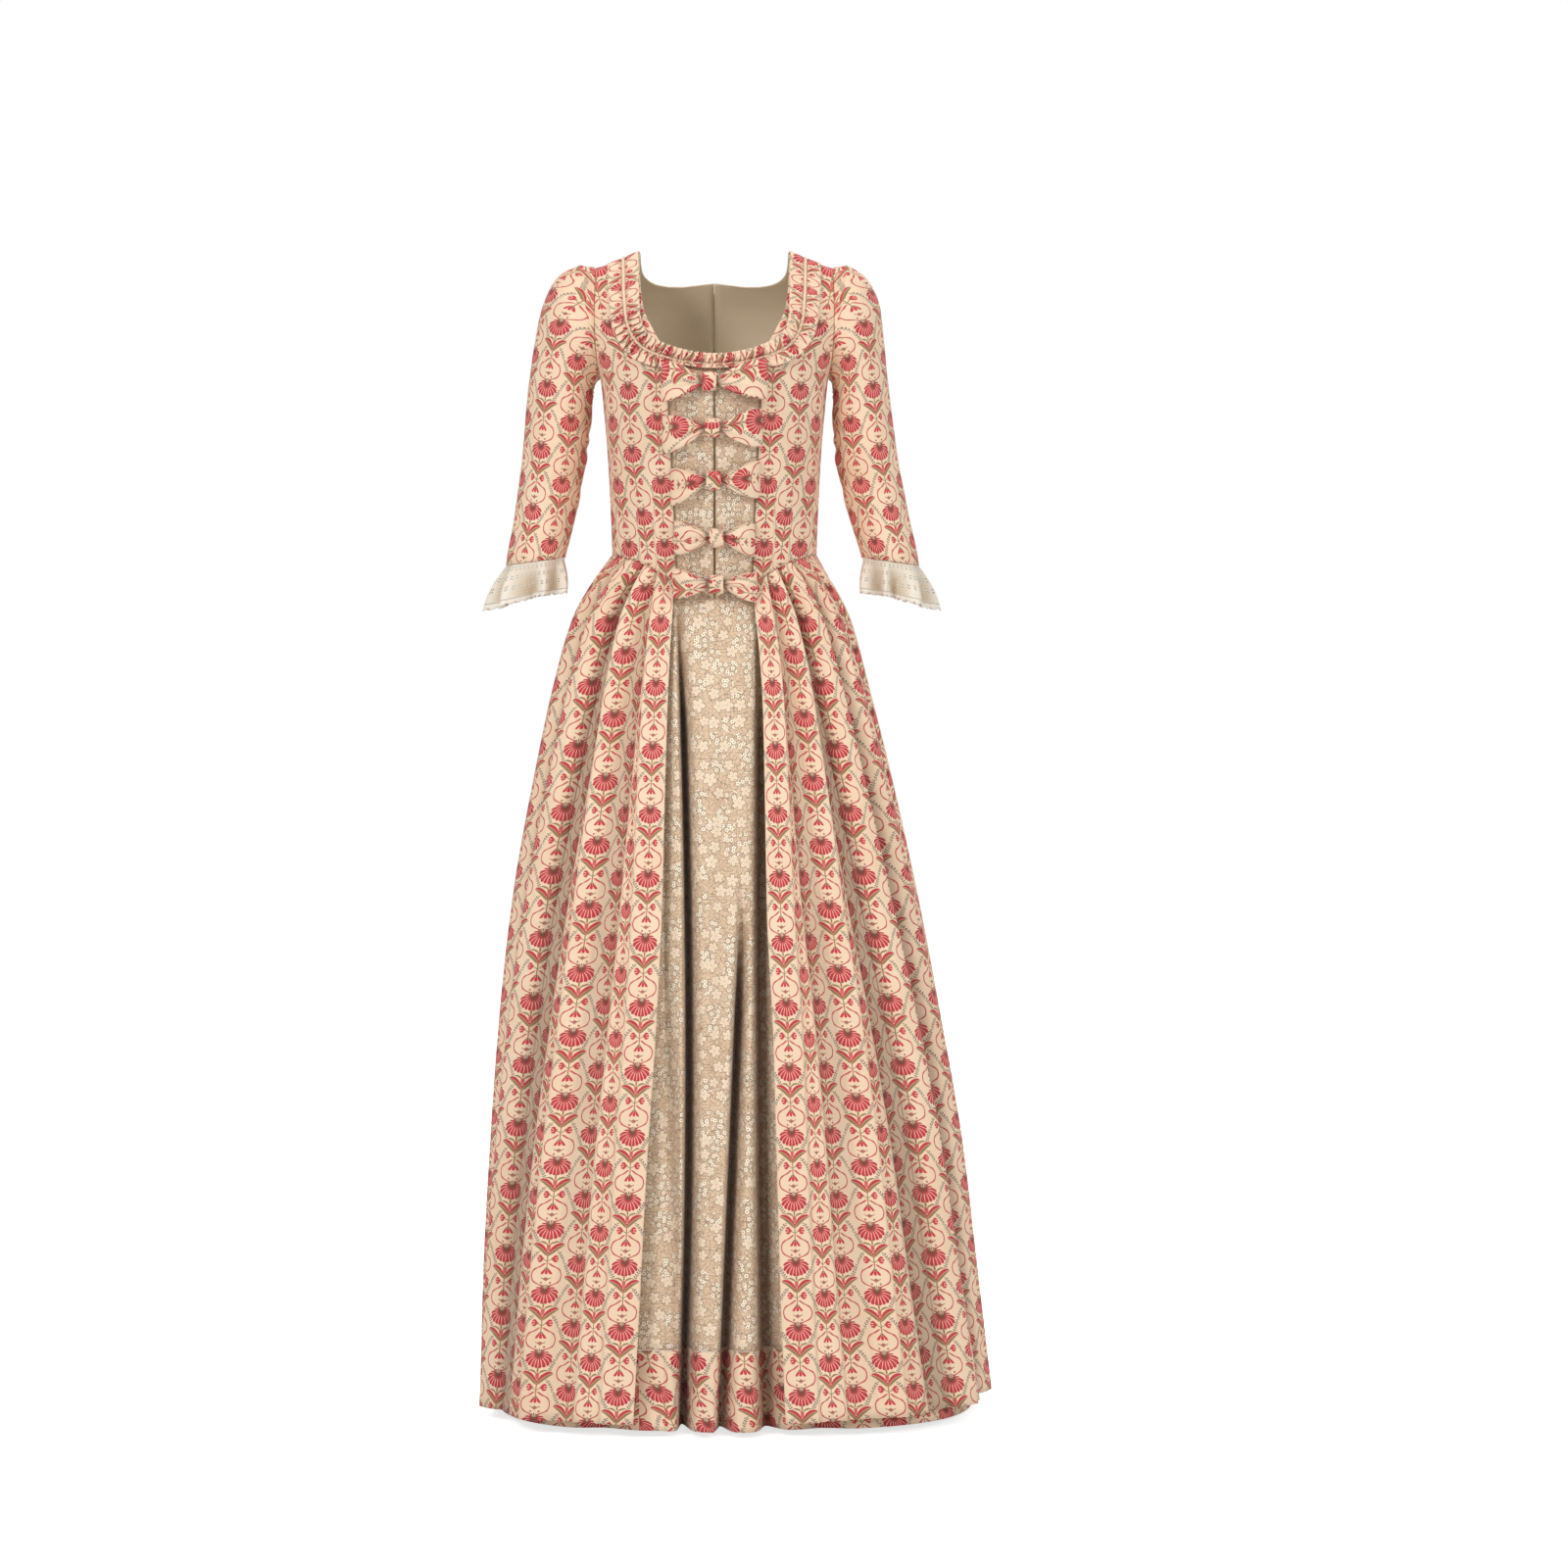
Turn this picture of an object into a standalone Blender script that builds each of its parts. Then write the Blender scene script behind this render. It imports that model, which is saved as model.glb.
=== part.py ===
"""A robe a la francaise, worn open over its petticoat: fitted bodice, stomacher with five bows,
ruched neckline, elbow sleeves with lace ruffles, pleated skirts and the loose sack pleats of the back.

Metres, +Z up, the front faces -Y. The origin is between the wearer's shoulders, at the height of the
shoulder seams beside the neck, where the wearer holds the robe up.
"""

import math
from typing import NamedTuple

import bpy
from mathutils import Vector

# Driving dimensions
WALL = 0.0016
SKIRT_WALL = 0.0012
TRIM_WALL = 0.0011
LACE_WALL = 0.0010
SEAM_GAP = 0.0004
WAIST_Z = -0.385
HEM_Z = -1.395
PETTICOAT_HEM_Z = -1.402
BAND_DEPTH = 0.094


class TorsoRow(NamedTuple):
    """One ring round the body, from the waist (row 0) to the ridge of the shoulders (last row)."""

    centre_z: float
    back_z: float
    side_z: float
    half_width: float
    front_depth: float
    back_depth: float
    front_edge: float
    armhole: float


TORSO = (
    TorsoRow(-0.4377, -0.3800, -0.3692, 0.1250, 0.0985, 0.0930, 0.0465, 0.1250),
    TorsoRow(-0.3720, -0.3380, -0.3310, 0.1262, 0.1085, 0.0950, 0.0480, 0.1262),
    TorsoRow(-0.3120, -0.2950, -0.2900, 0.1280, 0.1180, 0.0990, 0.0505, 0.1280),
    TorsoRow(-0.2550, -0.2480, -0.2450, 0.1305, 0.1280, 0.1050, 0.0530, 0.1305),
    TorsoRow(-0.2050, -0.2000, -0.1980, 0.1345, 0.1340, 0.1110, 0.0555, 0.1345),
    TorsoRow(-0.1650, -0.1600, -0.1560, 0.1390, 0.1320, 0.1160, 0.0570, 0.1390),
    TorsoRow(-0.1310, -0.1310, -0.1330, 0.1470, 0.1250, 0.1180, 0.0580, 0.1425),
    TorsoRow(-0.1000, -0.1000, -0.1050, 0.1557, 0.1150, 0.1160, 0.0720, 0.1445),
    TorsoRow(-0.0660, -0.0660, -0.0790, 0.1610, 0.0980, 0.1090, 0.0850, 0.1450),
    TorsoRow(-0.0320, -0.0320, -0.0580, 0.1642, 0.0760, 0.0920, 0.0890, 0.1450),
    TorsoRow(0.0100, 0.0100, -0.0400, 0.1669, 0.0470, 0.0600, 0.0905, 0.1445),
    TorsoRow(0.0490, 0.0490, -0.0268, 0.1678, 0.0240, 0.0300, 0.0910, 0.1440),
    TorsoRow(0.0540, 0.0540, -0.0242, 0.1680, 0.0008, 0.0008, 0.0910, 0.1440),
)
ARMPIT_ROW = 5
BACK_NECK_ROW = 9
TORSO_SQUARENESS = 2.3
ROW_DIP = 1.5


class SkirtRow(NamedTuple):
    """The gown's skirt at one share of its drop: half widths, depths and where its front edges hang."""

    drop: float
    left: float
    right: float
    front: float
    back: float
    squareness: float
    left_edge: float
    right_edge: float
    back_seam: float


SKIRT = (
    SkirtRow(0.00, 0.1250, 0.1250, 0.0985, 0.093, 2.3, 0.0490, 0.0470, 0.101),
    SkirtRow(0.04, 0.1540, 0.1500, 0.109, 0.130, 2.3, 0.0505, 0.0490, 0.104),
    SkirtRow(0.08, 0.1760, 0.1680, 0.119, 0.160, 2.3, 0.0530, 0.0530, 0.112),
    SkirtRow(0.15, 0.1960, 0.1870, 0.137, 0.192, 2.4, 0.0560, 0.0575, 0.124),
    SkirtRow(0.25, 0.2180, 0.2130, 0.161, 0.226, 2.5, 0.0590, 0.0596, 0.140),
    SkirtRow(0.40, 0.2460, 0.2480, 0.193, 0.268, 2.6, 0.0627, 0.0620, 0.156),
    SkirtRow(0.55, 0.2640, 0.2780, 0.222, 0.306, 2.7, 0.0700, 0.0690, 0.168),
    SkirtRow(0.70, 0.2760, 0.3040, 0.248, 0.341, 2.8, 0.0800, 0.0730, 0.178),
    SkirtRow(0.85, 0.2850, 0.3220, 0.269, 0.372, 2.9, 0.0880, 0.0770, 0.187),
    SkirtRow(1.00, 0.2900, 0.3400, 0.288, 0.402, 3.0, 0.0960, 0.0830, 0.195),
)


class Pleat(NamedTuple):
    """A knife pleat: its fold edge along the cloth from the gown's front edge, its depth and its lap."""

    edge: float
    depth: float
    lap: float


# Each pleat shows one stripe of the print at the waist and hides two.
PLEATS = (
    Pleat(0.041, 0.045, 0.011),
    Pleat(0.168, 0.045, 0.011),
    Pleat(0.311, 0.045, 0.016),
    Pleat(0.454, 0.045, 0.016),
    Pleat(0.597, 0.045, 0.016),
)
SEAMED_PLEAT = 2
PLEAT_STACK = 0.0072
PLEAT_BILLOW = 0.34
HEM_FULLNESS = 1.06


class SackRow(NamedTuple):
    """The sack back over the bodice: its height, half width, how far its middle stands out, its opening."""

    z: float
    half_width: float
    middle_lift: float
    openness: float


SACK_OVER_BACK = (
    SackRow(-0.045, 0.088, 0.008, 0.00),
    SackRow(-0.072, 0.091, 0.010, 0.00),
    SackRow(-0.105, 0.093, 0.013, 0.01),
    SackRow(-0.155, 0.096, 0.020, 0.03),
    SackRow(-0.225, 0.098, 0.032, 0.06),
    SackRow(-0.300, 0.099, 0.048, 0.10),
)


class SackFall(NamedTuple):
    """The sack back below the waist, at a share of the skirt's drop."""

    drop: float
    middle_lift: float
    openness: float


SACK_BELOW_WAIST = (
    SackFall(0.00, 0.066, 0.15),
    SackFall(0.04, 0.046, 0.18),
    SackFall(0.10, 0.034, 0.24),
    SackFall(0.20, 0.027, 0.36),
    SackFall(0.36, 0.022, 0.52),
    SackFall(0.56, 0.018, 0.70),
    SackFall(0.78, 0.015, 0.86),
    SackFall(1.00, 0.012, 1.00),
)
SACK_STAND = 0.0045


class SackPoint(NamedTuple):
    """A point across one half of the sack, in shares of its half width: folded at the neck, open at the hem."""

    cloth: float
    folded: float
    folded_lift: float
    open: float
    open_lift: float


SACK_FOLDS = (
    SackPoint(0.000, 0.000, 0.0000, 0.000, -0.016),
    SackPoint(0.060, 0.085, 0.0000, 0.078, -0.014),
    SackPoint(0.090, 0.088, 0.0024, 0.104, -0.008),
    SackPoint(0.120, 0.060, 0.0026, 0.094, -0.001),
    SackPoint(0.150, 0.057, 0.0052, 0.110, 0.007),
    SackPoint(0.260, 0.350, 0.0060, 0.330, 0.013),
    SackPoint(0.390, 0.660, 0.0060, 0.620, 0.010),
    SackPoint(0.450, 0.800, 0.0054, 0.720, 0.004),
    SackPoint(0.490, 0.803, 0.0028, 0.738, -0.003),
    SackPoint(0.550, 0.690, 0.0026, 0.706, -0.008),
    SackPoint(0.610, 0.687, 0.0000, 0.722, -0.014),
    SackPoint(0.700, 0.770, -0.0002, 0.790, -0.010),
    SackPoint(0.850, 0.880, -0.0004, 0.890, -0.002),
    SackPoint(1.000, 1.000, -0.0004, 1.000, 0.000),
)


class Flute(NamedTuple):
    """A fold of the petticoat's front: where it starts and where it reaches the hem, and its size."""

    top_x: float
    middle_x: float
    hem_x: float
    from_drop: float
    width: float
    depth: float


PETTICOAT_FLUTES = (
    Flute(-0.0440, -0.0290, -0.0350, 0.03, 0.0105, 0.027),
    Flute(0.0480, 0.0260, 0.0050, 0.40, 0.0100, 0.026),
    Flute(-0.0680, -0.0600, -0.0300, 0.40, 0.0120, 0.012),
    Flute(0.0530, 0.0500, 0.0580, 0.08, 0.0130, 0.014),
    Flute(-0.1000, -0.1100, -0.1300, 0.10, 0.0200, 0.014),
    Flute(0.1000, 0.1100, 0.1250, 0.10, 0.0200, 0.014),
)
PETTICOAT_CLEARANCE = 0.026
PETTICOAT_FRONT_COLUMNS = 44
PETTICOAT_BACK_COLUMNS = 26


class SleeveRow(NamedTuple):
    """A section of the sleeve between its outer and inner points, both given left and right."""

    left_out: float
    right_out: float
    out_z: float
    left_in: float
    right_in: float
    in_z: float
    half_depth: float
    middle_y: float


SLEEVE = (
    SleeveRow(0.1640, 0.1620, -0.0160, 0.1440, 0.1430, -0.1590, 0.0585, 0.002),
    SleeveRow(0.1900, 0.1840, -0.0300, 0.1460, 0.1440, -0.1640, 0.0600, 0.003),
    SleeveRow(0.2080, 0.2010, -0.0620, 0.1475, 0.1445, -0.1700, 0.0580, 0.004),
    SleeveRow(0.2200, 0.2080, -0.1150, 0.1485, 0.1450, -0.1810, 0.0540, 0.005),
    SleeveRow(0.2290, 0.2150, -0.1800, 0.1500, 0.1440, -0.2050, 0.0495, 0.007),
    SleeveRow(0.2340, 0.2230, -0.2400, 0.1560, 0.1480, -0.2480, 0.0470, 0.008),
    SleeveRow(0.2430, 0.2360, -0.3100, 0.1670, 0.1610, -0.3080, 0.0440, 0.008),
    SleeveRow(0.2550, 0.2510, -0.3820, 0.1820, 0.1800, -0.3730, 0.0420, 0.006),
)


class RuffleRow(NamedTuple):
    """A ring of the lace ruffle: its fall, its spread all round and on its outer side, and its waves."""

    fall: float
    outer_fall: float
    spread: float
    outer_spread: float
    wave: float


CUFF_RUFFLE = (
    RuffleRow(0.0003, 0.0003, 0.0000, 0.000, 0.0006),
    RuffleRow(0.0110, 0.0130, 0.0010, 0.008, 0.0026),
    RuffleRow(0.0250, 0.0300, 0.0005, 0.018, 0.0054),
    RuffleRow(0.0400, 0.0490, -0.0015, 0.026, 0.0070),
)
CUFF_WAVES = 13


class Bow(NamedTuple):
    """A bow of the stomacher: its knot's place, and its wings' reach, rise, height and lift at their tips."""

    x: float
    z: float
    left_reach: float
    right_reach: float
    left_rise: float
    right_rise: float
    tip_height: float
    tip_lift: float


BOWS = (
    Bow(-0.0060, -0.1640, 0.0515, 0.0640, -0.0020, 0.0015, 0.0440, 0.0108),
    Bow(-0.0024, -0.2178, 0.0560, 0.0560, -0.0090, 0.0000, 0.0450, 0.0034),
    Bow(-0.0010, -0.2796, 0.0480, 0.0520, -0.0085, 0.0010, 0.0440, 0.0034),
    Bow(0.0020, -0.3486, 0.0470, 0.0430, 0.0000, -0.0020, 0.0400, 0.0034),
    Bow(0.0020, -0.4044, 0.0470, 0.0430, 0.0025, -0.0025, 0.0350, 0.0100),
)
KNOT_HALF_WIDTH = 0.0086
KNOT_HALF_HEIGHT = 0.0104
KNOT_HALF_DEPTH = 0.0078
KNOT_BACK = -0.0020
# Round the knot from its top by the front, in shares of its half height and half depth
KNOT_SECTION = ((0.6, 1), (1, 0.55), (1, -0.55), (0.6, -1), (-0.6, -1), (-1, -0.55), (-1, 0.55), (-0.6, 1))
BOW_PINCH = 0.0090
BOW_PUFF = 0.0085
BOW_FOLD = 0.0028

# The line of gathers down the middle of the neck ruching, in front view
RUCHING_LINE = (
    (0.1100, -0.0100),
    (0.1095, -0.0300),
    (0.1085, -0.0560),
    (0.1045, -0.0880),
    (0.0950, -0.1110),
    (0.0780, -0.1260),
    (0.0480, -0.1370),
    (0.0200, -0.1420),
    (0.0000, -0.1430),
)
RUCHING_WAVES = 44
RUCHING_HALF_WIDTHS = (0.0200, 0.0128)
RUCHING_HEIGHT = 0.0040
# How much of the lower half's width the top bow hides
RUCHING_COVERED = 0.58

STOMACHER_UNDERLAP = 0.0070
STOMACHER_PARTING = 0.0011
STOMACHER_INSET = WALL + 0.0008


def material(name, colour, roughness):
    """A plain Principled finish."""
    made = bpy.data.materials.new(name)
    made.use_nodes = True
    shader = made.node_tree.nodes["Principled BSDF"]
    shader.inputs["Base Color"].default_value = (*colour, 1.0)
    shader.inputs["Roughness"].default_value = roughness
    shader.inputs["Metallic"].default_value = 0.0
    return made


def sampled(table, key, at):
    """The row of a table at a place between its rows, on a smooth curve that never overshoots."""
    keys = [getattr(row, key) for row in table]
    at = min(max(at, min(keys)), max(keys))
    rising = keys[-1] > keys[0]
    index = 0
    while index < len(keys) - 2 and (at > keys[index + 1]) == rising and at != keys[index + 1]:
        index += 1
    return blended(table, keys, index, at)


def blended(table, keys, index, at):
    """Cubic Hermite between two rows, each column with its own limited slopes."""
    span = keys[index + 1] - keys[index]
    t = (at - keys[index]) / span
    columns = []
    for c in range(len(table[0])):
        a, b = table[index][c], table[index + 1][c]
        before = slope_at(table, keys, index, c) * span
        after = slope_at(table, keys, index + 1, c) * span
        columns.append(
            a * (1 + 2 * t) * (1 - t) ** 2
            + before * t * (1 - t) ** 2
            + b * t * t * (3 - 2 * t)
            + after * t * t * (t - 1)
        )
    return type(table[0])(*columns)


def slope_at(table, keys, index, column):
    """The slope of one column at a row: the harmonic mean of its neighbours, or nothing at a turn."""
    def chord(i):
        return (table[i + 1][column] - table[i][column]) / (keys[i + 1] - keys[i])

    if index == 0:
        return chord(0)
    if index == len(table) - 1:
        return chord(index - 1)
    before, after = chord(index - 1), chord(index)
    if before * after <= 0:
        return 0.0
    return 2 * before * after / (before + after)


class NumberedRow(NamedTuple):
    """A torso row with its own number, so that rows can be looked up between the rings."""

    number: float
    centre_z: float
    back_z: float
    side_z: float
    half_width: float
    front_depth: float
    back_depth: float
    front_edge: float
    armhole: float


NUMBERED_TORSO = tuple(NumberedRow(i, *row) for i, row in enumerate(TORSO))
RIDGE = len(TORSO) - 1


def torso_row(number):
    """The torso's ring at a number between the rows of its table."""
    return sampled(NUMBERED_TORSO, "number", number)


def torso_point(x, number, back=False):
    """A point of the bodice's outer surface, at x on the ring of that number."""
    row = torso_row(number)
    share = min(abs(x) / row.half_width, 1.0)
    depth = row.back_depth if back else row.front_depth
    y = depth * (1 - share**TORSO_SQUARENESS) ** (1 / TORSO_SQUARENESS)
    middle = row.back_z if back else row.centre_z
    return Vector((x, y if back else -y, row.side_z + (middle - row.side_z) * (1 - share) ** ROW_DIP))


def torso_number(x, z, back=False):
    """The number of the ring that passes x at the height z."""
    low, high = 0.0, RIDGE - 0.02
    for _ in range(24):
        middle = (low + high) / 2
        if torso_point(x, middle, back).z < z:
            low = middle
        else:
            high = middle
    return low


def torso_at(x, z, back=False):
    """The point of the bodice's surface at x and z in front view."""
    return torso_point(x, torso_number(x, z, back), back)


def torso_normal(x, z, back=False):
    """The outward direction of the bodice's surface there."""
    number = torso_number(x, z, back)
    across = torso_point(x + 0.002, number, back) - torso_point(x - 0.002, number, back)
    up = torso_point(x, number + 0.05, back) - torso_point(x, max(number - 0.05, 0), back)
    normal = across.cross(up).normalized()
    return -normal if (normal.y > 0) != back else normal


def ring_angle(x, half_width):
    """How far round a torso ring a point lies, 0 at the middle and a quarter turn at the side."""
    return math.asin(min(abs(x) / half_width, 1.0) ** (TORSO_SQUARENESS / 2))


def resampled(points, count, closed):
    """The same line with its points spaced evenly along it."""
    line = list(points) + ([points[0]] if closed else [])
    lengths = [0.0]
    for a, b in zip(line, line[1:]):
        lengths.append(lengths[-1] + (b - a).length)
    steps = count if closed else count - 1
    made, index = [], 0
    for i in range(count):
        target = lengths[-1] * i / steps
        while index < len(lengths) - 2 and lengths[index + 1] < target:
            index += 1
        span = lengths[index + 1] - lengths[index]
        made.append(line[index].lerp(line[index + 1], (target - lengths[index]) / span))
    return made


def smooth_line(points, count):
    """Evenly spaced points on a Catmull-Rom curve through the given ones."""
    ends = [2 * points[0] - points[1], *points, 2 * points[-1] - points[-2]]
    fine = []
    for a, b, c, d in zip(ends, ends[1:], ends[2:], ends[3:]):
        for i in range(12):
            t = i / 12
            fine.append(
                0.5 * (2 * b + (c - a) * t + (2 * a - 5 * b + 4 * c - d) * t**2 + (3 * b - a - 3 * c + d) * t**3)
            )
    return resampled([*fine, points[-1]], count, closed=False)


def eased(value):
    """A smooth step from 0 to 1."""
    value = min(max(value, 0.0), 1.0)
    return value * value * (3 - 2 * value)


def cloth(name, rows, finish, wall=WALL, closed=False, offset=0.0):
    """A wall of cloth through rows of points: an open width, or a tube where it is closed."""
    columns = len(rows[0])
    across = columns if closed else columns - 1
    faces = []
    for r in range(len(rows) - 1):
        for c in range(across):
            right = (c + 1) % columns
            faces.append(
                (r * columns + c, r * columns + right, (r + 1) * columns + right, (r + 1) * columns + c)
            )
    mesh = bpy.data.meshes.new(name)
    mesh.from_pydata([tuple(p) for row in rows for p in row], [], faces)
    mesh.materials.append(finish)
    mesh.shade_smooth()
    made = bpy.data.objects.new(name, mesh)
    robe.objects.link(made)
    solidify = made.modifiers.new("Cloth", "SOLIDIFY")
    solidify.thickness = wall
    solidify.offset = offset
    return made


def side_name(side):
    """The robe's left is at -X, as it is seen from the front."""
    return "left" if side < 0 else "right"


FRONT_ROWS = (0, 1, 2, 3, 3.5, 4, 4.5, 5, 5.6, 6.2, 7, 8, 9, 10, 11, 12)
BACK_ROWS = (0, 1, 2, 3, 4, 5, 6, 7, 8, 8.9, 9.1, 9.5, 10, 11, 12)
STOMACHER_ROWS = (0.2, 1, 2, 3, 3.5, 4, 4.5, 5, 5.6, 5.98)


def bodice_front(side, finish):
    """One front of the gown's bodice, from its front edge and neckline to the side seam and armhole."""
    rows = []
    for number in FRONT_ROWS:
        row = torso_row(number)
        start = ring_angle(row.front_edge, row.half_width)
        end = min(ring_angle(row.armhole, row.half_width), math.radians(89.9))
        rows.append(panel_row(side, number, start, end, 8, back=False))
    return cloth(f"bodice_front_{side_name(side)}", rows, finish, offset=-side)


def bodice_back(side, finish):
    """One half of the fitted back, from the back seam and back neckline to the side seam and armhole."""
    rows = []
    for number in BACK_ROWS:
        row = torso_row(number)
        neck = SEAM_GAP
        if number > BACK_NECK_ROW:
            up = (number - BACK_NECK_ROW) / (RIDGE - BACK_NECK_ROW)
            neck = row.front_edge * (1 - (1 - up) ** 7) ** 0.5
        start = ring_angle(neck, row.half_width)
        end = min(ring_angle(row.armhole, row.half_width), math.radians(89.9))
        rows.append(panel_row(side, number, start, end, 7, back=True))
    return cloth(f"bodice_back_{side_name(side)}", rows, finish, offset=side)


def panel_row(side, number, start, end, count, back):
    """Points along part of a torso ring, evenly spaced by their angle."""
    row = torso_row(number)
    made = []
    for i in range(count):
        angle = start + (end - start) * i / (count - 1)
        x = row.half_width * math.sin(angle) ** (2 / TORSO_SQUARENESS)
        made.append(torso_point(side * x, number, back))
    return made


def stomacher(side, finish):
    """One half of the stomacher, hooked edge to edge at the centre and tucked under the gown's front."""
    rows = []
    for number in STOMACHER_ROWS:
        reach = torso_row(number).front_edge + STOMACHER_UNDERLAP
        row = []
        for out in (0, 0.28, 0.55, 0.8, 1):
            x = side * (STOMACHER_PARTING + (reach - STOMACHER_PARTING) * out)
            place = torso_point(x, number)
            row.append(place - torso_normal(x, place.z) * STOMACHER_INSET)
        rows.append(row)
    return cloth(f"stomacher_{side_name(side)}", rows, finish, wall=0.0014, offset=-side)


def armhole_loop(side, count):
    """The seam of the armhole, from the shoulder down its front and up its back."""
    front = [torso_row(ARMPIT_ROW + (RIDGE - ARMPIT_ROW) * i / 24) for i in range(25)]
    down = [torso_point(side * row.armhole, row.number) for row in reversed(front)]
    up = [torso_point(side * row.armhole, row.number, back=True) for row in front]
    return resampled([*down, *up[1:-1]], count, closed=True)


def sleeve_ring(side, row, count):
    """An oval section of the sleeve, from its outer point round by the front."""
    out_x, in_x = (row.left_out, row.left_in) if side < 0 else (row.right_out, row.right_in)
    outer = Vector((side * out_x, row.middle_y, row.out_z))
    inner = Vector((side * in_x, row.middle_y, row.in_z))
    centre, long_axis = (outer + inner) / 2, (outer - inner) / 2
    fine = []
    for i in range(72):
        angle = 2 * math.pi * i / 72
        fine.append(centre + long_axis * math.cos(angle) + Vector((0, -row.half_depth * math.sin(angle), 0)))
    return resampled(fine, count, closed=True)


def sleeve(side, finish, count=18):
    """The sleeve, set into its armhole and cut to the elbow."""
    seam = Vector((side * SEAM_GAP, 0, 0))
    rows = [[p + seam for p in armhole_loop(side, count)]]
    rows += [sleeve_ring(side, row, count) for row in SLEEVE]
    return cloth(f"sleeve_{side_name(side)}", rows, finish, closed=True, offset=-side)


def cuff_ruffle(side, finish):
    """The gathered lace that falls from the sleeve's end, longer and wider on its outer side."""
    count = CUFF_WAVES * 3
    end = sleeve_ring(side, SLEEVE[-1], count)
    centre = sum(end, Vector()) / count
    rows = []
    for ring in CUFF_RUFFLE:
        row = []
        for i, point in enumerate(end):
            away = (point - centre).normalized()
            outward = max(0.0, side * away.x)
            wave = ring.wave * (1.0, -0.3, -0.7)[i % 3] * (0.85 + 0.15 * math.sin(1.7 * i))
            reach = ring.spread + ring.outer_spread * outward + wave - 0.0012
            fall = ring.fall + (ring.outer_fall - ring.fall) * outward
            row.append(point + away * reach - Vector((0, 0, fall + SEAM_GAP)))
        rows.append(row)
    return cloth(f"cuff_ruffle_{side_name(side)}", rows, finish, wall=LACE_WALL, closed=True, offset=-side)


def skirt_row(drop):
    """The gown's skirt at a share of its drop."""
    return sampled(SKIRT, "drop", drop)


def girth_point(row, side, turn, inset=0.0):
    """A point of the skirt's outline: turn runs from 0 at the front through 1 at the side to 2 at the back."""
    width = (row.left if side < 0 else row.right) - inset
    depth = (row.front if turn <= 1 else row.back) - inset
    angle = turn * math.pi / 2
    power = 2 / row.squareness
    x = width * abs(math.sin(angle)) ** power
    y = depth * abs(math.cos(angle)) ** power
    return Vector((side * x, -y if turn <= 1 else y, 0))


def turn_of(row, side, x, back):
    """The turn at which the outline has that x, on the front or on the back."""
    width = row.left if side < 0 else row.right
    turn = math.asin(min(x / width, 1.0) ** (row.squareness / 2)) / (math.pi / 2)
    return 2 - turn if back else turn


def girth_line(row, side, count=160):
    """The skirt's outline from its front edge round the side to the seam of the sack back."""
    edge = row.left_edge if side < 0 else row.right_edge
    start = turn_of(row, side, edge, back=False)
    end = turn_of(row, side, row.back_seam, back=True)
    return [girth_point(row, side, start + (end - start) * i / count) for i in range(count + 1)]


def line_length(line):
    """The length of a line of points."""
    return sum((b - a).length for a, b in zip(line, line[1:]))


def on_line(line, lengths, along):
    """The point that far along a line, and the outward direction there in plan."""
    along = min(max(along, 0.0), lengths[-1])
    index = 0
    while index < len(lengths) - 2 and lengths[index + 1] < along:
        index += 1
    a, b = line[index], line[index + 1]
    share = (along - lengths[index]) / (lengths[index + 1] - lengths[index])
    tangent = (b - a).normalized()
    return a.lerp(b, share), Vector((tangent.y, -tangent.x, 0))


def pleated_points(closure, cloth_width):
    """(cloth, along, lift) across a pleated width: how far along the cloth, the girth, and inwards."""
    points = [(0.0, 0.0, 0.0)]
    cloth_at, along, low, fold = 0.0, 0.0, 0.0, 0.0
    for edge, depth, lap in PLEATS:
        points += plain_stretch((cloth_at, along, low), edge, fold, lap * closure, closure)
        fold = along + edge - cloth_at
        inner = fold + depth * (1 - closure) - lap * closure
        billow = PLEAT_BILLOW * 2 * math.sqrt(closure * (1 - closure)) * depth
        drop = math.hypot(PLEAT_STACK * closure, billow) + 1e-5
        points += (
            (edge + 0.02 * depth, fold + 0.0006, 0.36 * drop),
            (edge + 0.50 * depth, (fold + inner) / 2, 0.50 * drop),
            (edge + 0.98 * depth, inner - 0.0004, 0.64 * drop),
            (edge + 1.04 * depth, inner, drop),
        )
        cloth_at = edge + 2 * depth
        along = max(fold + 2 * depth * (1 - closure), inner + 0.004)
        low = drop
    return points + plain_stretch((cloth_at, along, low), cloth_width, fold, 0.0, closure)


def plain_stretch(start, cloth_end, fold, next_lap, closure):
    """The stretch after a pleat's inner fold: flat under the pleat, then up before the next one's lap."""
    cloth_at, along, low = start
    length = cloth_end - cloth_at
    if not low:
        return [(cloth_at + length * t, along + length * t, 0.0) for t in (0.35, 0.7, 1.0)]
    hidden = min(max((fold + 0.002 - along) / length, 0.10), 0.75)
    made = []
    risen = max(min(1 - (next_lap + 0.001) / length, (1.2 + hidden) / 2.2), hidden + 0.1)
    for t, up in ((0.0, 0.0), (hidden, 0.04), (risen, min(0.52 + 0.55 * closure, 1.0)), (1.0, 1.0)):
        made.append((cloth_at + length * t, along + length * t, low * (1 - up)))
    return made


SKIRT_DROPS = (0.0, 0.04, 0.10, 0.20, 0.36, 0.56, 0.78, 1.0)


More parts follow.
